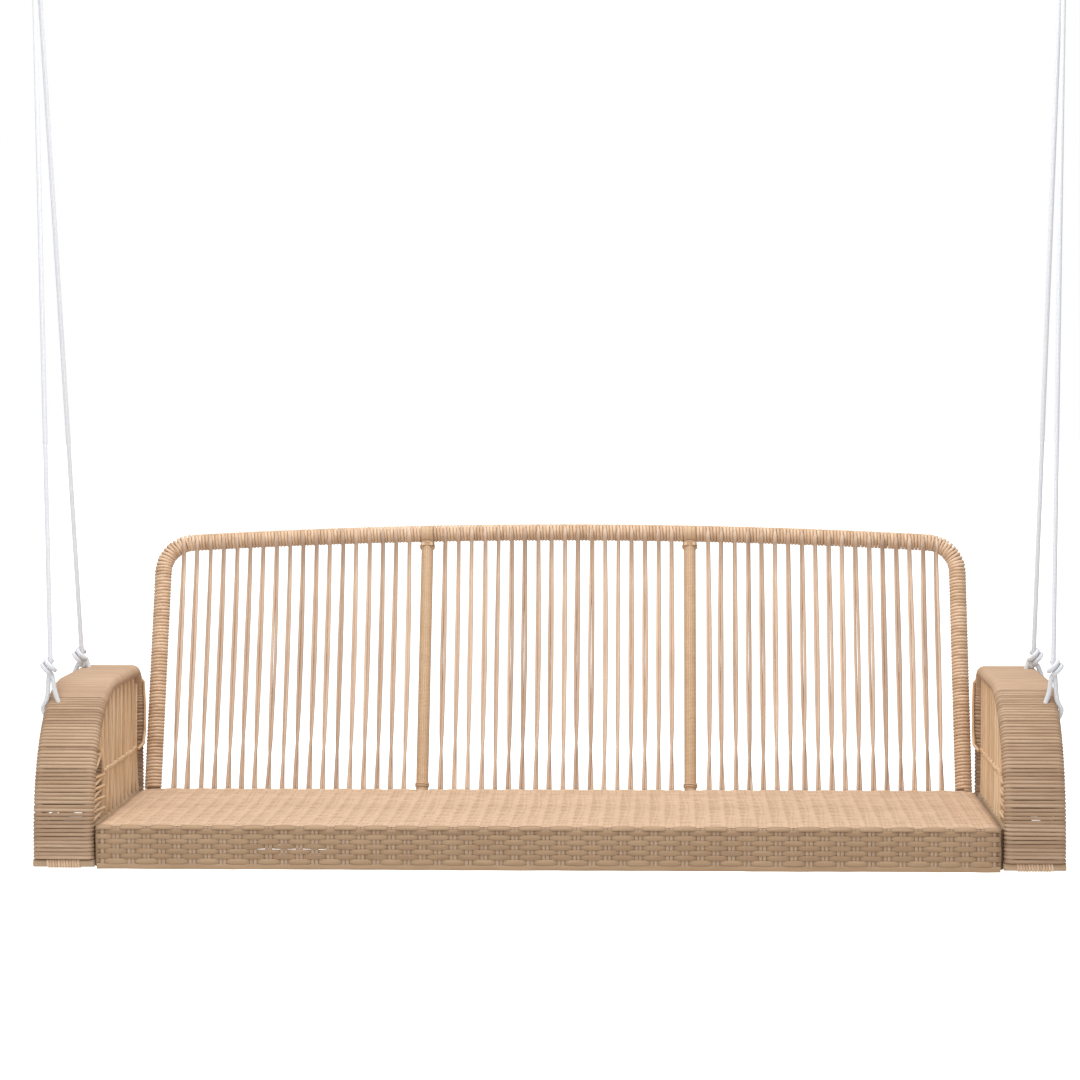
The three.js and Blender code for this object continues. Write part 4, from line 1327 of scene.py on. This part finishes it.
@dataclass
class Backrest:
    """The reclined back: a crowned tube wound with cord, two taped posts and three laced bays."""

    shop: Workshop
    post_x: float = 887.0
    height: float = 556.0
    crown: float = 28.0
    corner: float = 68.0
    tube: float = 25.0
    cord: float = 7.0
    foot: float = -34.0
    wrap_foot: float = -4.0
    lower_rail: float = -23.5
    lower_tube: float = 20.0
    mid_x: float = 293.67
    mid_tube: float = 19.0
    tape: float = 4.0
    pitch: float = 29.8
    strands: int = 18
    bay: float = 587.33
    strand_cord: float = 7.0
    seed: int = 23

    def rail_up(self, x: Any) -> np.ndarray:
        """Height of the crowned rail's centre line along the recline."""
        radius = (self.post_x**2 + self.crown**2) / (2 * self.crown)
        return self.height + np.sqrt(radius**2 - np.asarray(x, float) ** 2) - (radius - self.crown)

    def outline(self, foot: float) -> np.ndarray:
        """Centre line of the bent tube, from one foot over the rail to the other.

        Args:
            foot: Where its ends are, along the recline.

        Returns:
            Places across and up, one row each.
        """
        shoulder = self.post_x - self.corner
        shoulder_up = float(self.rail_up(shoulder)) - self.corner
        bend = arc((shoulder, shoulder_up), (self.corner, self.corner), 0, 87, 10)
        crown_x = np.linspace(shoulder, 0, 14)[1:]
        crown = np.stack([crown_x, self.rail_up(crown_x)], axis=1)
        posts = np.array([[self.post_x, foot], [self.post_x, shoulder_up * 0.5]])
        right = np.vstack([posts, bend, crown])
        return np.vstack([right, (right[:-1] * [-1, 1])[::-1]])

    def on_plane(self, x: Any, up: Any) -> Cord:
        """A cord in the backrest's plane."""
        return Cord(self.shop.place.on_back(x, up), 1.0, self.shop.place.back_out)

    def winding(self) -> None:
        """Winds the round cord on the tube."""
        shop, turn = self.shop, self.pitch / 4
        piece = shop.wind(
            "back_frame_winding",
            self.on_plane(*self.outline(self.wrap_foot).T),
            "wound",
            steps=14,
            seed=self.seed,
            core=self.tube / 2 + self.cord / 2,
            pitch=turn,
            width=turn + 0.35,
            thickness=self.cord,
            stray=0.8,
        )
        shop.deliver(piece, SWING, "wound_cord", "back_frame_wrap")
        tube = self.on_plane(*self.outline(self.foot).T)
        piece = shop.sweep("back_frame_steel", [tube], "steel", self.tube, sides=18)
        shop.deliver(piece, SWING, "steel_tube", "back_frame_tube")
        ends = np.array([-1.0, 1.0]) * (self.post_x - self.tube / 2)
        lower = self.on_plane(ends, self.lower_rail)
        piece = shop.sweep("back_lower_steel", [lower], "steel", self.lower_tube, sides=18)
        shop.deliver(piece, SWING, "steel_tube", "back_lower_rail")

    def mid_posts(self) -> None:
        """Winds flat tape on the two middle posts, with a collar at each end."""
        shop = self.shop
        foot = self.lower_tube / 2 + self.lower_rail
        head = float(self.rail_up(self.mid_x)) - self.tube / 2 - self.cord
        for side in Side:
            x, word = side.value * self.mid_x, side.word
            post = self.on_plane(x, np.array([foot, head]))
            tape = shop.wind(
                f"mid_post_tape_{word}",
                post,
                "tape",
                steps=18,
                seed=self.seed + 2,
                core=self.mid_tube / 2 + self.tape - 0.5,
                pitch=9.0,
                width=18.0,
                thickness=0.9,
                stray=0.4,
            )
            shop.deliver(tape, SWING, "wound_cord", f"back_mid_wrap_{word}")
            steel = shop.sweep(f"mid_post_steel_{word}", [post], "steel", self.mid_tube, sides=16)
            shop.deliver(steel, SWING, "steel_tube", f"back_mid_post_{word}")
            self.mid_post_ends(side, x)

    def mid_post_ends(self, side: Side, x: float) -> None:
        """The tape over the front of the rail at a middle post's head, and its tied collars.

        Args:
            side: The post's side.
            x: Where the post stands.
        """
        shop, place = self.shop, self.shop.place
        rail = float(self.rail_up(x))
        radius = self.tube / 2 + self.cord + 1.0
        angles = np.radians(np.linspace(-70, 44, 10))
        up = np.concatenate([[rail - radius - 10, rail - radius - 3], rail + radius * np.sin(angles)])
        out = np.concatenate([[13.2, 12.6], radius * np.cos(angles)])
        out[-1] -= 3.5
        faces = np.concatenate([[0.0, 0.0], angles])
        facing = place.on_back(0.0, np.sin(faces), np.cos(faces)) - place.on_back(0.0, 0.0, 0.0)
        straps = [
            Cord(place.on_back(x + shift, up, out), 1.0, facing / MM) for shift in (-8.4, 0.0, 8.4)
        ]
        head = shop.sweep(f"mid_post_head_{side.word}", straps, "tape", 9.6, 2.6, 8, self.seed + 5)
        ring = arc((0, 0), (14.3, 14.3), 0, 380, 24)
        ties = [
            Cord(place.on_back(x + ring[:, 0], up + np.linspace(0, 3.0, 25), ring[:, 1]))
            for up in (rail - radius - 2.0, rail - radius - 6.5, 3.5, 8.0)
        ]
        knobs = rail - radius - np.array([4.0, 8.0, 13.0, 16.0])
        bulge = np.array([12.0, 15.2, 15.2, 12.6])
        ties += [Cord(place.on_back(x + way * bulge, knobs, 1.0), 1.4) for way in (-1, 1)]
        seed = self.seed + 6
        rings = shop.sweep(f"mid_post_ties_{side.word}", ties, "tape", 3.2, sides=7, seed=seed)
        for piece in (head, rings):
            shop.deliver(piece, SWING, "wound_cord")

    def strand(self, x: float, number: int) -> list[Cord]:
        """One upright pair of cords, from under the lower rail to over the front of the top one.

        Args:
            x: Where it stands.
            number: Its number, which seeds its small differences.

        Returns:
            The pair's two cords.
        """
        place = self.shop.place
        stray = np.random.default_rng(self.seed * 100 + number)
        rail = float(self.top_of_bay(x))
        under = rail - self.tube / 2 - self.cord
        # The two cords cross low down, stand apart half way up and close up under the rail.
        up = np.array([-15.0, 5.0, 50.0, 88.0, 130.0, 190.0, 290.0, 400.0, 480.0, under])
        up[2:5] += stray.normal(0, 14)
        spread = np.array([-2.7, -2.7, -1.5, 0.0, 1.6, 2.5, 3.2, 2.8, 2.1, 1.5])
        spread *= 1 + stray.normal(0, 0.14)
        behind = np.array([0.0, 0.4, 2.2, 3.3, 2.2, 0.9, 0.5, 0.9, 1.6, 1.6])
        ahead = np.array([0.0, 0.0, 0.0, 0.0, 0.0, 0.0, 0.0, 0.5, 2.5, 8.0])
        sway = stray.normal(0, 0.4) + stray.normal(0, 0.8) * np.sin(math.pi * (up + 15) / (under + 15))
        # The foot turns forward under the lower rail, the head forward over the top one.
        foot_up = self.lower_rail + np.array([-11.5, 4.0])
        foot_out = np.array([-7.0, -11.5])
        angles = np.radians([-56, -34, -6, 26])
        radius = self.tube / 2 + self.cord + 1.4
        cords = []
        for way in (-1, 1):
            head_up = rail + (radius + way * 0.6) * np.sin(angles)
            head_out = (radius + way * 0.6) * np.cos(angles) - np.array([0, 0, 0, 4.0])
            line = x + sway + way * spread
            foot_x = [line[0], line[0]]
            pinch = x + way * np.array([1.6, 1.5, 1.0, 0.1])
            route = place.on_back(
                np.concatenate([foot_x, line, pinch]),
                np.concatenate([foot_up, up, head_up]),
                np.concatenate([foot_out, ahead + way * behind, head_out]),
            )
            girth = np.concatenate([[1.0, 1.0], np.ones(len(up)), [1.04, 1.04, 0.94, 0.4]])
            cords.append(Cord(route, girth * (1.0 if way > 0 else 0.94)))
        return cords

    def top_of_bay(self, x: float) -> float:
        """Height of the tube's centre line over a strand, down into the bends at its ends."""
        shoulder = self.post_x - self.corner
        past = max(0.0, abs(x) - shoulder)
        if past == 0:
            return float(self.rail_up(x))
        return float(self.rail_up(shoulder)) - self.corner + math.sqrt(self.corner**2 - past**2)

    def bays(self) -> None:
        """Laces the three bays."""
        half = (self.strands - 1) / 2
        for i, word in enumerate(("left", "centre", "right")):
            middle = (i - 1) * self.bay
            cords = []
            for n in range(self.strands):
                cords += self.strand(middle + (n - half) * self.pitch, i * self.strands + n)
            name, seed = f"back_lacing_{word}", self.seed + i
            piece = self.shop.sweep(name, cords, "lacing", self.strand_cord, sides=7, seed=seed)
            self.shop.deliver(piece, SWING, "lacing_cord", f"back_strands_{word}")

    def lower_hem(self) -> None:
        """Winds cord on the lower rail between the strands."""
        ends = np.array([-1.0, 1.0]) * (self.post_x - 22)
        piece = self.shop.wind(
            "back_lower_winding",
            self.on_plane(ends, self.lower_rail),
            "wound",
            steps=10,
            seed=self.seed + 9,
            core=self.lower_tube / 2 + 1.6,
            pitch=self.pitch / 4,
            width=self.pitch / 4 + 0.2,
            thickness=3.4,
            stray=1.5,
        )
        self.shop.deliver(piece, SWING, "wound_cord")

    def build(self) -> None:
        """Makes the whole backrest."""
        self.winding()
        self.mid_posts()
        self.bays()
        self.lower_hem()


# ---- Arms --------------------------------------------------------------------------------------


@dataclass
class Arm:
    """One bowed arm: two hoops wound together into a band, laced on both sides."""

    shop: Workshop
    side: Side
    inner_x: float = 914.0
    width: float = 126.0
    height: float = 360.0
    front: float = 5.0
    rear: float = 610.0
    bow_start: float = 60.0
    bow_run: float = 285.0
    rear_radius: float = 70.0
    band: float = 29.0
    hoop_tube: float = 22.0
    sill_tube: float = 18.0
    sill_z: float = 70.1
    foot_tube: float = 16.6
    foot_inset: float = 28.0  # the feet are wound from here on
    cord: float = 7.7
    lacing: float = 6.2
    pair_pitch: float = 45.0
    first_pair: float = 203.0
    last_pair: float = 563.0
    tie_z: float = 173.0
    fine_from: tuple = ((Side.LEFT, 316.0), (Side.RIGHT, 330.0))  # wound finely from this height
    seed: int = 41

    def profile(self, inset: float, foot: float) -> np.ndarray:
        """Outline of the arm from the side, lying inside its outer surface.

        Args:
            inset: How far inside.
            foot: Height of its two ends.

        Returns:
            Places to the rear and up, one row each.
        """
        bow_y = self.front + self.bow_run
        rise = self.height - self.bow_start - inset
        bow = arc((bow_y, self.bow_start), (self.bow_run - inset, rise), 180, 90, 26)
        rear = arc(
            (self.rear - self.rear_radius, self.height - self.rear_radius),
            (self.rear_radius - inset, self.rear_radius - inset),
            90,
            0,
            10,
        )
        return np.vstack([[(self.front + inset, foot)], bow, rear, [(self.rear - inset, foot)]])

    def ceiling(self, y: float, inset: float) -> float:
        """Height of the arch over a place along the arm."""
        ahead = max(0.0, self.front + self.bow_run - y) / (self.bow_run - inset)
        bowed = self.bow_start + (self.height - self.bow_start - inset) * math.sqrt(max(0.0, 1 - ahead**2))
        corner = self.rear_radius - inset
        behind = max(0.0, y - (self.rear - self.rear_radius))
        rounded = self.height - self.rear_radius + math.sqrt(max(0.0, corner**2 - behind**2))
        return min(bowed, rounded)

    def x_of(self, face: Face) -> float:
        """Middle of one of the two tubes, across the seat."""
        inset = self.band / 2
        place = self.inner_x + (inset if face is Face.INNER else self.width - inset)
        return self.side.value * place

    def winding(self) -> None:
        """Winds the band: open and uneven up the front, tight and fine over the top."""
        shop = self.shop
        line = self.profile(self.band / 2, 21.5)
        walked = np.concatenate([[0], np.cumsum(np.linalg.norm(np.diff(line, axis=0), axis=1))])
        climb = slice(0, int(np.argmax(line[:, 1])))
        fine_from = np.interp(dict(self.fine_from)[self.side], line[climb, 1], walked[climb])
        fine_to = walked[-1] - 255
        middle = self.side.value * (self.inner_x + self.width / 2)
        # Name, start and end along the arm, cord, stray along the band in mm, tilt in radians.
        spans = (
            ("front", 0.0, fine_from, self.cord, 1.3, 0.006),
            ("top", fine_from + self.cord - 0.4, fine_to, 5.6, 0.4, 0.002),
            ("rear", fine_to + self.cord - 0.4, walked[-1], self.cord, 1.2, 0.006),
        )
        for number, (word, start, end, cord, stray, tilt) in enumerate(spans):
            marks = np.linspace(start, end, 60)
            y, z = (np.interp(marks, walked, line[:, k]) for k in (0, 1))
            route = Cord(shop.place.at(middle, y, z), 1.0, RIGHT)
            values = {
                "Pitch": cord * MM,
                "Band Width": self.width * MM,
                "Band Depth": self.band * MM,
                "Cord": (cord + 0.5) * MM,
                "Stray": stray * MM,
                "Tilt": tilt,
                "Sides": 6,
                "Seed": self.seed + 7 * number + self.side.value,
                "Finish": shop.finishes["fine" if word == "top" else "band"],
            }
            name = f"arm_{self.side.word}_{word}_winding"
            piece = shop.banded.make(name, [route], values)
            shop.deliver(piece, SWING, "wound_cord", f"arm_{self.side.word}_wrap")

    def steel(self) -> None:
        """Makes the hoops and sills inside the winding."""
        line = self.profile(self.band / 2, self.sill_tube + 0.4)
        run = np.array([self.front + self.band + 3, self.rear - self.band - 3])
        kinds = (
            ("hoop", line[:, 0], line[:, 1], self.hoop_tube),
            ("sill", run, self.sill_z, self.sill_tube),
        )
        at, word = self.shop.place.at, self.side.word
        for kind, y, z, size in kinds:
            cords = [Cord(at(self.x_of(face), y, z), 1.0, RIGHT) for face in Face]
            piece = self.shop.sweep(f"arm_{word}_{kind}s", cords, "steel", size, sides=14)
            nodes = [f"arm_{word}_{face.value}_{kind}" for face in Face]
            self.shop.deliver(piece, SWING, "steel_tube", *nodes)

    def feet(self) -> None:
        """Makes the cross rails under the arm, wound with cord between the two hoops."""
        shop, z = self.shop, self.sill_tube / 2
        places = (("front", self.front + self.band / 2), ("rear", self.rear - self.band / 2))
        for word, y in places:
            ends, wound = (
                Cord(shop.place.at(self.side.value * (self.inner_x + across), y, z), 1.0, UP)
                for across in (
                    np.array([inset, self.width - inset]) for inset in (1.0, self.foot_inset)
                )
            )
            name = f"arm_{self.side.word}_{word}_rail"
            rail = shop.sweep(name, [ends], "steel", self.foot_tube, sides=14)
            shop.deliver(rail, SWING, "wound_cord", f"arm_{self.side.word}_{word}_foot")
            winding = shop.wind(
                f"{name}_winding",
                wound,
                "wound",
                steps=12,
                seed=self.seed + 3,
                core=8.6,
                pitch=5.6,
                width=5.8,
                thickness=4.2,
                stray=0.5,
            )
            shop.deliver(winding, SWING, "wound_cord")

    def side_lacing(self, face: Face) -> None:
        """Laces one side: upright cords gathered by a cross tie, a fan and V lacing in front."""
        shop, x0 = self.shop, self.x_of(face)
        stray = np.random.default_rng(self.seed + (0 if face is Face.INNER else 50))
        cords = []
        foot = self.sill_z - 6
        sill = self.sill_z + self.sill_tube / 2

        def add(points: list[tuple[float, float, float]], girth: float = 1.0) -> None:
            """Adds a cord through places given as across, to the rear and up."""
            data = np.array(points)
            cords.append(Cord(shop.place.at(x0 + data[:, 0], data[:, 1], data[:, 2]), girth))

        pairs = np.arange(self.first_pair, self.last_pair + 1, self.pair_pitch)
        for y in pairs:
            for way in (-1, 1):
                top_y = min(y + way * self.pair_pitch / 4, self.rear - self.band - 5)
                top = self.ceiling(top_y, self.band) + 3
                sway = stray.normal(0, 0.8)
                add(
                    [
                        (1.0 * way, y + way * 9.6, foot),
                        (2.6 * way, y + way * 9.4 + sway * 0.5, sill + 4),
                        (1.2 * way, y + way * 7.0 + sway, (sill + self.tie_z) / 2),
                        (0.8 * way, y + way * 3.4, self.tie_z - 3),
                        (0.8 * way, y + way * 3.2, self.tie_z + 3),
                        (1.2 * way, y + way * 7.0 + sway, self.tie_z + (top - self.tie_z) * 0.45),
                        (1.6 * way, top_y, top),
                    ]
                )
        # A doubled cord crosses the uprights and gathers each pair.
        tie_y = np.linspace(pairs[0] - 5, pairs[-1] + 6, 6 * len(pairs))
        for way in (-1, 1):
            weave = way * 4.6 * np.sin(math.pi * np.arange(len(tie_y)) / 1.5)
            lift = self.tie_z + way * 2.2 + 1.0 * np.sin(tie_y / 17.0)
            add(list(zip(weave, tie_y, lift)), 0.75)
        # Cords fan down from the bow to the front end of the tie.
        leg = self.front + self.band + 2
        first = pairs[0] - 8
        for i, y in enumerate(np.linspace(leg + 22, first - 8, 6)):
            top = self.ceiling(y, self.band) + 2
            end_z = self.tie_z + 3 + 9 * (5 - i)
            end_y = first - 1.6 * (5 - i)
            waist = ((y + end_y) / 2 + 5, (top + end_z) / 2 - 4)
            add([(1.6, y, top), (0.6 * (-1) ** i, *waist), (0.0, end_y, end_z)], 0.95)
        # V lacing holds the lower front corner between the leg and the first upright.
        heights = np.linspace(sill + 4, self.tie_z + 2, 5)
        for low, high in zip(heights[:-1], heights[1:]):
            waist = (low + high) / 2
            for way, start in ((1, low), (-1, high)):
                knee = (0.0, (leg + first) / 2, start + 5 * way)
                end = (-1.2 * way, first, waist - 2 * way)
                add([(1.6 * way, leg - 4, start + 2 * way), knee, end], 0.9)
        if face is Face.INNER:
            # The lacing's two ends hang down the rear leg and tuck in behind the last pair.
            inward = self.inner_x - abs(x0)
            for step in (0.0, 6.0):
                hanging = (
                    (6, 580, self.height - 30),
                    (1 - step / 2, 596 - step, self.height - 42),
                    (0.5 - step / 2, 604 - step, 268),
                    (0.5 - step / 2, 602 - step, 212),
                    (-1 - step / 3, 584 - step, 184),
                    (6, 566 - step, self.tie_z),
                )
                add([(self.side.value * (inward + x), y, z) for x, y, z in hanging], 1.02)
        name = f"arm_{self.side.word}_{face.value}_lacing_cords"
        piece = shop.sweep(name, cords, "side_lacing", self.lacing, sides=6, seed=self.seed)
        shop.deliver(piece, SWING, "lacing_cord", f"arm_{self.side.word}_{face.value}_lacing")

    def build(self) -> None:
        """Makes the arm."""
        self.winding()
        self.steel()
        self.feet()
        for face in Face:
            self.side_lacing(face)


# ---- Studio ------------------------------------------------------------------------------------


@dataclass
class Studio:
    """The camera, the lights and the pale floor."""

    place: Place
    eye: tuple[float, float, float] = (248.1, -5942.5, 1002.7)
    yaw: float = 0.0433
    pitch: float = 0.0568
    roll: float = -0.003
    lens: float = 99.67
    floor_drop: float = 620.0
    sky: float = 0.54  # how strongly the white surroundings light the seat

    def camera(self) -> None:
        """Sets the camera in front of the seat, a little to the right and above it."""
        data = bpy.data.cameras.new("camera")
        data.lens, data.sensor_width = self.lens, 36.0
        data.clip_end = 100.0
        camera = bpy.data.objects.new("camera", data)
        bpy.context.scene.collection.objects.link(camera)
        aim = Euler((math.pi / 2 - self.pitch, 0.0, self.yaw)).to_matrix().to_4x4()
        spot = Matrix.Translation(Vector(self.place.at(*self.eye)))
        camera.matrix_world = spot @ aim @ Matrix.Rotation(self.roll, 4, "Z")
        bpy.context.scene.camera = camera

    def lamp(self, name: str, at: tuple, size: float, power: float, toward: tuple) -> None:
        """Hangs one soft lamp.

        Args:
            name: Its name.
            at: Where it hangs, in metres from the middle of the seat.
            size: Its width in metres.
            power: Its power in watts.
            toward: The point that it faces.
        """
        data = bpy.data.lights.new(name, "AREA")
        data.shape, data.size, data.energy = "DISK", size, power
        lamp = bpy.data.objects.new(name, data)
        bpy.context.scene.collection.objects.link(lamp)
        middle = Vector(self.place.at(0, 270, 90))
        spot = middle + Vector(at)
        lamp.location = spot
        lamp.rotation_euler = (middle + Vector(toward) - spot).to_track_quat("-Z", "Y").to_euler()

    def build(self) -> None:
        """Lights the scene and lays the floor."""
        self.lamp("top_lamp", (0.0, -0.5, 3.6), size=3.4, power=120.0, toward=(0.0, 0.0, 0.0))
        self.lamp("front_lamp", (-1.6, -4.8, 2.4), size=2.8, power=84.0, toward=(0.0, 0.0, 0.2))
        world = bpy.data.worlds.new("studio")
        bpy.context.scene.world = world
        world.use_nodes = True
        tree = world.node_tree
        tree.nodes.clear()
        seen, shed = (
            output(tree, "ShaderNodeBackground", {"Color": WHITE, "Strength": strength})
            for strength in (1.0, self.sky)
        )
        path = add_node(tree, "ShaderNodeLightPath")
        both = {0: path.outputs["Is Camera Ray"], 1: shed, 2: seen}
        both = output(tree, "ShaderNodeMixShader", both)
        add_node(tree, "ShaderNodeOutputWorld", {"Surface": both})
        self.floor()
        settings = bpy.context.scene.view_settings
        settings.view_transform, settings.look = "Standard", "None"

    def floor(self) -> None:
        """Lays a matt white floor well below the hanging seat."""
        mesh = bpy.data.meshes.new("floor")
        low = self.place.low.z - self.floor_drop * MM
        corners = [(-30, -30, low), (30, -30, low), (30, 60, low), (-30, 60, low)]
        mesh.from_pydata(corners, [], [(0, 1, 2, 3)])
        mesh.materials.append(PaintedFloor().material())
        floor = bpy.data.objects.new("floor", mesh)
        bpy.context.scene.collection.objects.link(floor)


def finishes() -> dict[str, Material]:
    """Makes every finish once, by the name that the pieces ask for."""
    # Each rattan's name, its dark, middle and light tan, and how far its tones differ.
    rattans = {
        "wicker": ("flat_wicker_top", "#b89a7e", "#cfb093", "#ddc1a5", 0.12),
        "warp": ("flat_wicker_strips", "#bd9f83", "#d3b598", "#e4c9ae", 0.12),
        # The apron is the seat's own wicker; its darker tans are painted shade for its front face.
        "apron": ("flat_wicker_apron", "#8f7156", "#a6886a", "#ba9c7d", 0.16),
        "wound": ("wound_rattan_cord", "#b59475", "#d0b092", "#e3c9ad", 0.24),
        "band": ("arm_rattan_cord", "#92745a", "#af9277", "#c7ab8f", 0.24),
        "fine": ("arm_top_rattan_cord", "#ab8e73", "#bfa186", "#cfb49a", 0.12),
        "lacing": ("laced_rattan_cord", "#a98f7a", "#c9ad95", "#e3ccb6", 0.24),
        # The arms' lacing is a yellower tan than the back's, and paler as painted light against the shade
        # inside the arms.
        "side_lacing": ("side_rattan_cord", "#c3a180", "#e2c09a", "#f0d7b8", 0.24),
    }
    tape = Rattan("flat_rattan_tape", "#ba9a79", "#c7a888", "#d3b699", 0.1, roughness=0.5)
    made = {
        **{key: Rattan(*looks) for key, looks in rattans.items()},
        "tape": tape,
        "rope": BraidedRope(),
        "steel": PowderCoat(),
        "zinc": ZincPlate(),
    }
    return {key: finish.material() for key, finish in made.items()}


def dress_bolts(material: Material) -> None:
    """Gives the frame's own bolts their zinc finish."""
    for name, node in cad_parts.items():
        if "bolt" in name:
            node.data.materials.clear()
            node.data.materials.append(material)


def main() -> None:
    """Builds the camera and the ropes first, then every sub-assembly in order."""
    logging.basicConfig(level=logging.INFO, format="%(name)s: %(message)s")
    place = Place(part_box("apron_weave")[0])
    shop = Workshop(place, finishes())
    studio = Studio(place)
    studio.camera()
    ropes = Ropes(shop)
    ropes.build()
    SnapHooks(shop, ropes).build()
    WovenSeat(shop).build()
    SteelFrame(shop).build()
    Backrest(shop).build()
    for side in Side:
        Arm(shop, side).build()
    dress_bolts(shop.finishes["zinc"])
    studio.build()


if __name__ == "__main__":
    main()
